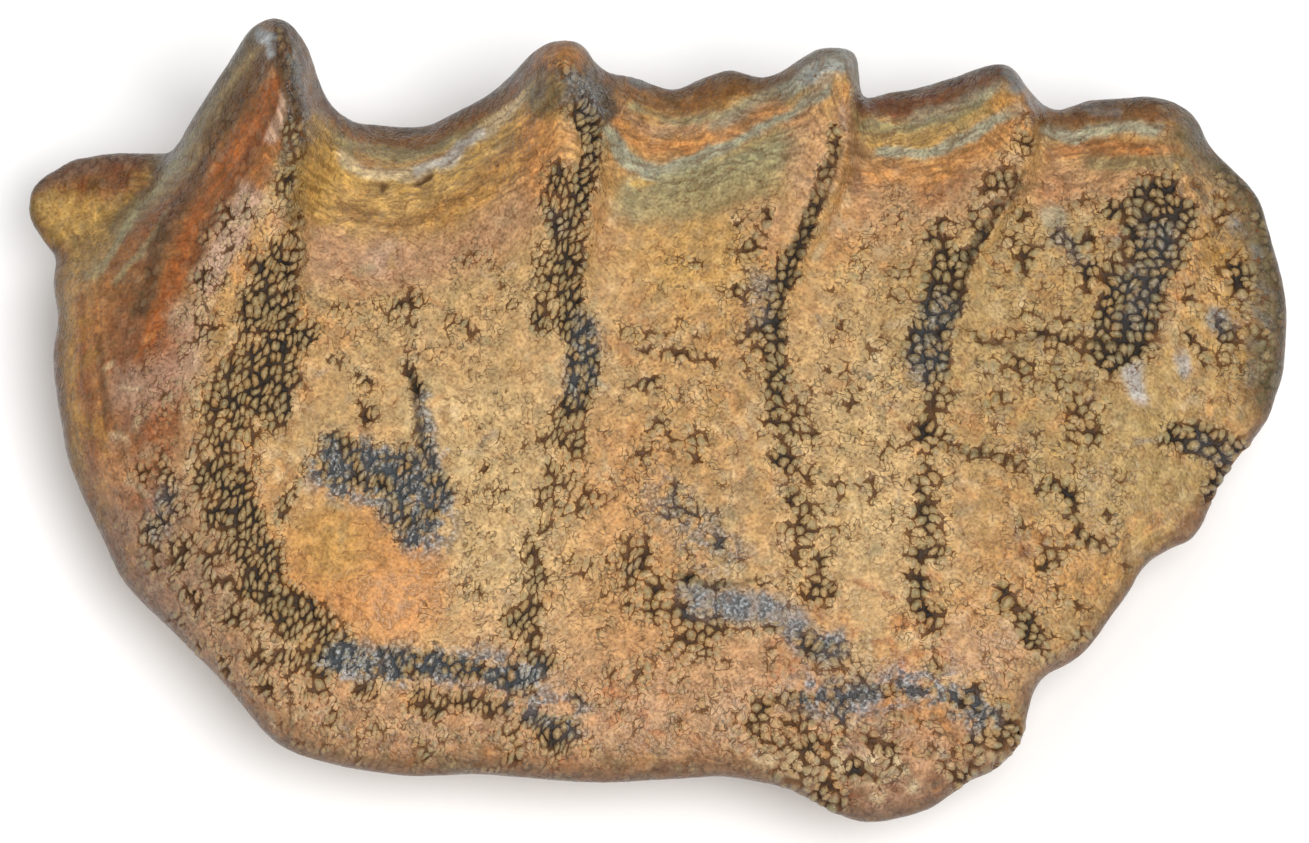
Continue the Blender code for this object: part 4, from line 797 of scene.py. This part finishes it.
def fossilMaterial():
    made = bpy.data.materials.new("fossilDentine")
    made.use_nodes = True
    tree = made.node_tree
    tree.nodes.clear()

    def field(name, output="Fac"):
        return addNode(tree, "ShaderNodeAttribute", attribute_name=name).outputs[output]

    position = tree.nodes.new("ShaderNodeTexCoord").outputs["Object"]
    place = sketchPlace(tree, position)
    solid = addNode(tree, "ShaderNodeMapping", {"Vector": position, "Rotation": (0.6, 0.4, 0.8), "Scale": (1000,) * 3})
    solid = solid.outputs[0]

    def rough(size, detail, seed, output=0):
        moved = vectors(tree, "ADD", solid, (seed, seed, seed))
        inputs = {"Vector": moved, "Scale": 1 / size, "Detail": detail}
        return addNode(tree, "ShaderNodeTexNoise", inputs).outputs[output]

    strength = field("net")
    grain = rough(0.14, 1.0, 57.0)
    patch = field("patch")
    inside, shade, own, third = islands(tree, field("island", "Vector"))
    ragged = maths(tree, "MULTIPLY_ADD", grain, 0.2, maths(tree, "SUBTRACT", inside, 0.1))
    ragged = maths(tree, "ADD", ragged, ranged(tree, patch, 0.3, 0.7, -0.04, 0.04))
    pore = poreShare(tree, ragged, strength, own)
    inNet = soften(tree, strength, 0.15, 0.6)

    # mottled and grainy dentine
    base = field("tone", "Color")
    base = mixed(tree, 1.0, base, ranged(tree, patch, 0.3, 0.7, 0.78, 1.2), "MULTIPLY")
    speckle = maths(tree, "MULTIPLY", soften(tree, grain, 0.47, 0.35), soften(tree, strength, 0.0, 0.35, 0.36, 0.6))
    base = mixed(tree, speckle, base, mixed(tree, 1.0, base, tone("darkGrain"), "MULTIPLY"))
    # lighter where the grain rises: the dentine's own light grain, and painted glints on its high spots
    base = mixed(tree, 1.0, base, ranged(tree, grain, 0.54, 0.7, 1.0, 1.3), "MULTIPLY")
    chips = mixed(tree, shade, tone("rust"), tone("cream"))
    chips = mixed(tree, soften(tree, third, 0.5, 0.9), chips, tone("oliveGrey"))
    base = mixed(tree, soften(tree, inside, -0.02, 0.15, 0.0, 0.12), base, chips)

    # short dark wrinkles on the outskirts of the nets
    wrinkle = maths(tree, "ABSOLUTE", maths(tree, "SUBTRACT", rough(0.25, 0.0, 83.0), 0.5))
    wrinkle = maths(tree, "MULTIPLY", soften(tree, wrinkle, 0.06, 0.015), soften(tree, strength, 0.04, 0.36))
    wrinkle = maths(tree, "MULTIPLY", wrinkle, soften(tree, shade, 0.2, 0.6))
    base = mixed(tree, maths(tree, "MULTIPLY", wrinkle, 0.75), base, tone("umber"))

    vein = maths(tree, "ABSOLUTE", maths(tree, "SUBTRACT", patch, 0.5))
    vein = maths(tree, "MULTIPLY", soften(tree, vein, 0.045, 0.0), soften(tree, field("dirt"), 0.2, 0.9, 0.05, 0.6))
    base = mixed(tree, vein, base, tone("redBrown"))

    # growth lines along the outer edge
    u = addNode(tree, "ShaderNodeSeparateXYZ", {0: place}).outputs[0]
    bands = maths(tree, "MULTIPLY_ADD", field("inward"), 5.0, maths(tree, "MULTIPLY", patch, 1.2))
    streak = addNode(tree, "ShaderNodeCombineXYZ", {0: bands, 1: maths(tree, "MULTIPLY", u, 0.7)}).outputs[0]
    streak = addNode(tree, "ShaderNodeTexNoise", {"Vector": streak, "Scale": 1.0, "Detail": 2.0}).outputs[0]
    grown = field("grown")
    base = mixed(tree, maths(tree, "MULTIPLY", grown, soften(tree, streak, 0.5, 0.36, 0.0, 0.48)), base, tone("streakBrown"))
    bright = mixed(tree, 1.0, base, (1.4, 1.4, 1.25, 1.0), "MULTIPLY")
    base = mixed(tree, maths(tree, "MULTIPLY", grown, soften(tree, streak, 0.52, 0.66, 0.0, 0.7)), base, bright)

    # pale islands that grade to brown rims: the pale is the islands' own colour, and the grading from pale middle to
    # brown rim is painted shade that rounds each island into its pore
    pale = mixed(tree, shade, tone("sage"), tone("paleTan"))
    pale = mixed(tree, soften(tree, own, 0.55, 0.95, 0.0, 0.7), pale, tone("ochre"))
    pale = mixed(tree, soften(tree, inside, 0.03, 0.3, 0.0, 0.68), base, pale)
    base = mixed(tree, maths(tree, "MULTIPLY", inNet, 0.85), base, pale)
    base = mixed(tree, maths(tree, "MULTIPLY", soften(tree, pore, 0.0, 0.6), 0.8), base, tone("brown"))

    # blue-grey film of mineral in its own slate and blue-grey; the blue-white specks on the grain's high spots are
    # painted glints
    film = field("film")
    filmTone = mixed(tree, soften(tree, grain, 0.42, 0.55), tone("slate"), tone("blueGrey"))
    filmTone = mixed(tree, soften(tree, grain, 0.56, 0.68), filmTone, tone("blueWhite"))
    base = mixed(tree, maths(tree, "MULTIPLY", film, soften(tree, patch, 0.66, 0.44, 0.2, 0.9)), base, filmTone)
    dark = mixed(tree, field("dirt"), tone("black"), tone("umber"))
    dark = mixed(tree, soften(tree, strength, 0.95, 0.65), dark, tone("darkBrown"))
    dark = mixed(tree, soften(tree, strength, 0.6, 0.3, 0.0, 0.7), dark, tone("streakBrown"))
    dark = mixed(tree, maths(tree, "MULTIPLY", film, 0.8), dark, tone("slate"))
    open = maths(tree, "MULTIPLY", soften(tree, pore, 0.2, 1.0), soften(tree, strength, 0.3, 0.85, 0.4, 0.97))
    open = maths(tree, "MAXIMUM", open, field("cut"))
    base = mixed(tree, open, base, dark)

    # bone of the wall and the underside
    boneTone = mixed(tree, field("dirt"), tone("bone"), tone("brown"))
    hollow = soften(tree, patch, 0.5, 0.36)
    boneTone = mixed(tree, maths(tree, "MULTIPLY", hollow, 0.7), boneTone, tone("boneDark"))
    border = maths(tree, "ADD", field("bone"), ranged(tree, patch, 0.3, 0.7, -0.35, 0.35))
    bony = soften(tree, border, 0.35, 0.65)
    base = mixed(tree, bony, base, boneTone)

    gloss = ranged(tree, patch, 0.3, 0.7, finish["gloss"] - 0.08, finish["gloss"] + 0.1)
    gloss = addNode(tree, "ShaderNodeMix", {0: open, 2: gloss, 3: finish["poreGloss"]}, data_type="FLOAT").outputs[0]
    gloss = addNode(tree, "ShaderNodeMix", {0: bony, 2: gloss, 3: finish["boneGloss"]}, data_type="FLOAT").outputs[0]

    # fine relief, in mm
    fine = maths(tree, "MULTIPLY", grain, 0.085)
    fine = maths(tree, "ADD", fine, maths(tree, "MULTIPLY", patch, 0.06))
    fine = maths(tree, "ADD", fine, maths(tree, "MULTIPLY", vein, -0.03))
    fine = maths(tree, "ADD", fine, maths(tree, "MULTIPLY", wrinkle, -0.05))
    fine = maths(tree, "ADD", fine, maths(tree, "MULTIPLY", soften(tree, inside, 0.0, 0.4), soften(tree, strength, 0.3, 0.9, 0.0, 0.16)))
    fine = maths(tree, "ADD", fine, maths(tree, "MULTIPLY", pore, soften(tree, strength, 0.2, 0.8, -0.01, -0.08)))
    fine = maths(tree, "ADD", fine, maths(tree, "MULTIPLY", hollow, maths(tree, "MULTIPLY", bony, -0.08)))
    bump = addNode(tree, "ShaderNodeBump", {"Strength": finish["bump"], "Distance": 0.001, "Height": fine})
    shader = addNode(tree, "ShaderNodeBsdfPrincipled", {"Base Color": base, "Roughness": gloss, "Normal": bump.outputs[0],
                                                           "Specular IOR Level": finish["specular"]})
    out = tree.nodes.new("ShaderNodeOutputMaterial")
    tree.links.new(shader.outputs[0], out.inputs[0])
    return made


fossil = fossilMaterial()
tree = reliefTree()
step = plate.modifiers.new("Relief", "NODES")
for socket in tree.interface.items_tree:
    if socket.in_out == "INPUT" and socket.name in relief:
        socket.default_value = relief[socket.name]
step.node_group = tree
for socket in tree.interface.items_tree:
    if socket.in_out == "INPUT" and socket.name in relief:
        step[socket.identifier] = relief[socket.name]
    if socket.in_out == "INPUT" and socket.name == "Material":
        step[socket.identifier] = fossil
ownMesh(plate)
print("relief made", len(plate.data.vertices))

# Wall and underside keep fewer faces than the crown.
group = plate.vertex_groups.new(name="below")
values = np.zeros(len(plate.data.vertices))
plate.data.attributes["crown"].data.foreach_get("value", values)
below = np.flatnonzero(values < 0.02)
group.add(below.tolist(), 1.0, "REPLACE")
thin = plate.modifiers.new("Thin", "DECIMATE")
thin.vertex_group = "below"
thin.vertex_group_factor = 1000.0
faces = 2 * len(plate.data.polygons)
thin.ratio = min(1.0, 190000 / faces)
ownMesh(plate)
plate.data.shade_smooth()
print("plate", len(plate.data.polygons), "faces")

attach(plate, "root")
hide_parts("tooth_plate")

# Stage

stage = {"floorSize": 3.0, "floorTone": 0.94}


def makeFloor():
    mesh = bpy.data.meshes.new("floor")
    half = stage["floorSize"] / 2
    mesh.from_pydata([(-half, -half, 0), (half, -half, 0), (half, half, 0), (-half, half, 0)], [], [(0, 1, 2, 3)])
    floor = bpy.data.objects.new("floor", mesh)
    scene.collection.objects.link(floor)
    made = bpy.data.materials.new("paleFloor")
    made.use_nodes = True
    shader = made.node_tree.nodes["Principled BSDF"]
    shader.inputs["Base Color"].default_value = (stage["floorTone"],) * 3 + (1.0,)
    shader.inputs["Roughness"].default_value = 0.9
    mesh.materials.append(made)


def addLight(name, azimuth, elevation, distance, size, power):
    data = bpy.data.lights.new(name, "AREA")
    data.shape = "DISK"
    data.size = size
    data.energy = power
    light = bpy.data.objects.new(name, data)
    scene.collection.objects.link(light)
    a, e = math.radians(azimuth), math.radians(elevation)
    back = Vector((math.sin(a) * math.cos(e), -math.cos(a) * math.cos(e), math.sin(e)))
    light.location = back * distance
    light.rotation_mode = "QUATERNION"
    light.rotation_quaternion = back.to_track_quat("Z", "Y")


def makeCamera():
    data = bpy.data.cameras.new("camera")
    camera = bpy.data.objects.new("camera", data)
    scene.collection.objects.link(camera)
    scene.camera = camera
    distance = 0.9
    data.sensor_width = 36.0
    data.lens = 36.0 * distance / 0.05236
    data.clip_start = 0.01
    target = Vector((-0.00008, 0.0003186, 0.007))
    lean = sketch["lean"]
    back = Vector((0, -math.sin(lean), math.cos(lean)))
    camera.location = target + back * distance
    camera.rotation_mode = "QUATERNION"
    camera.rotation_quaternion = back.to_track_quat("Z", "Y")


makeFloor()
addLight("key", 30, 60, 0.6, 0.42, 3.4)
addLight("fill", -70, 50, 0.6, 0.4, 0.5)
addLight("back", 170, 50, 0.6, 0.4, 0.7)
world = bpy.data.worlds.new("studio")
world.use_nodes = True
world.node_tree.nodes["Background"].inputs[0].default_value = (1.0, 1.0, 1.0, 1.0)
world.node_tree.nodes["Background"].inputs[1].default_value = 0.42
scene.world = world
scene.view_settings.view_transform = "Standard"
makeCamera()
print("stage set")
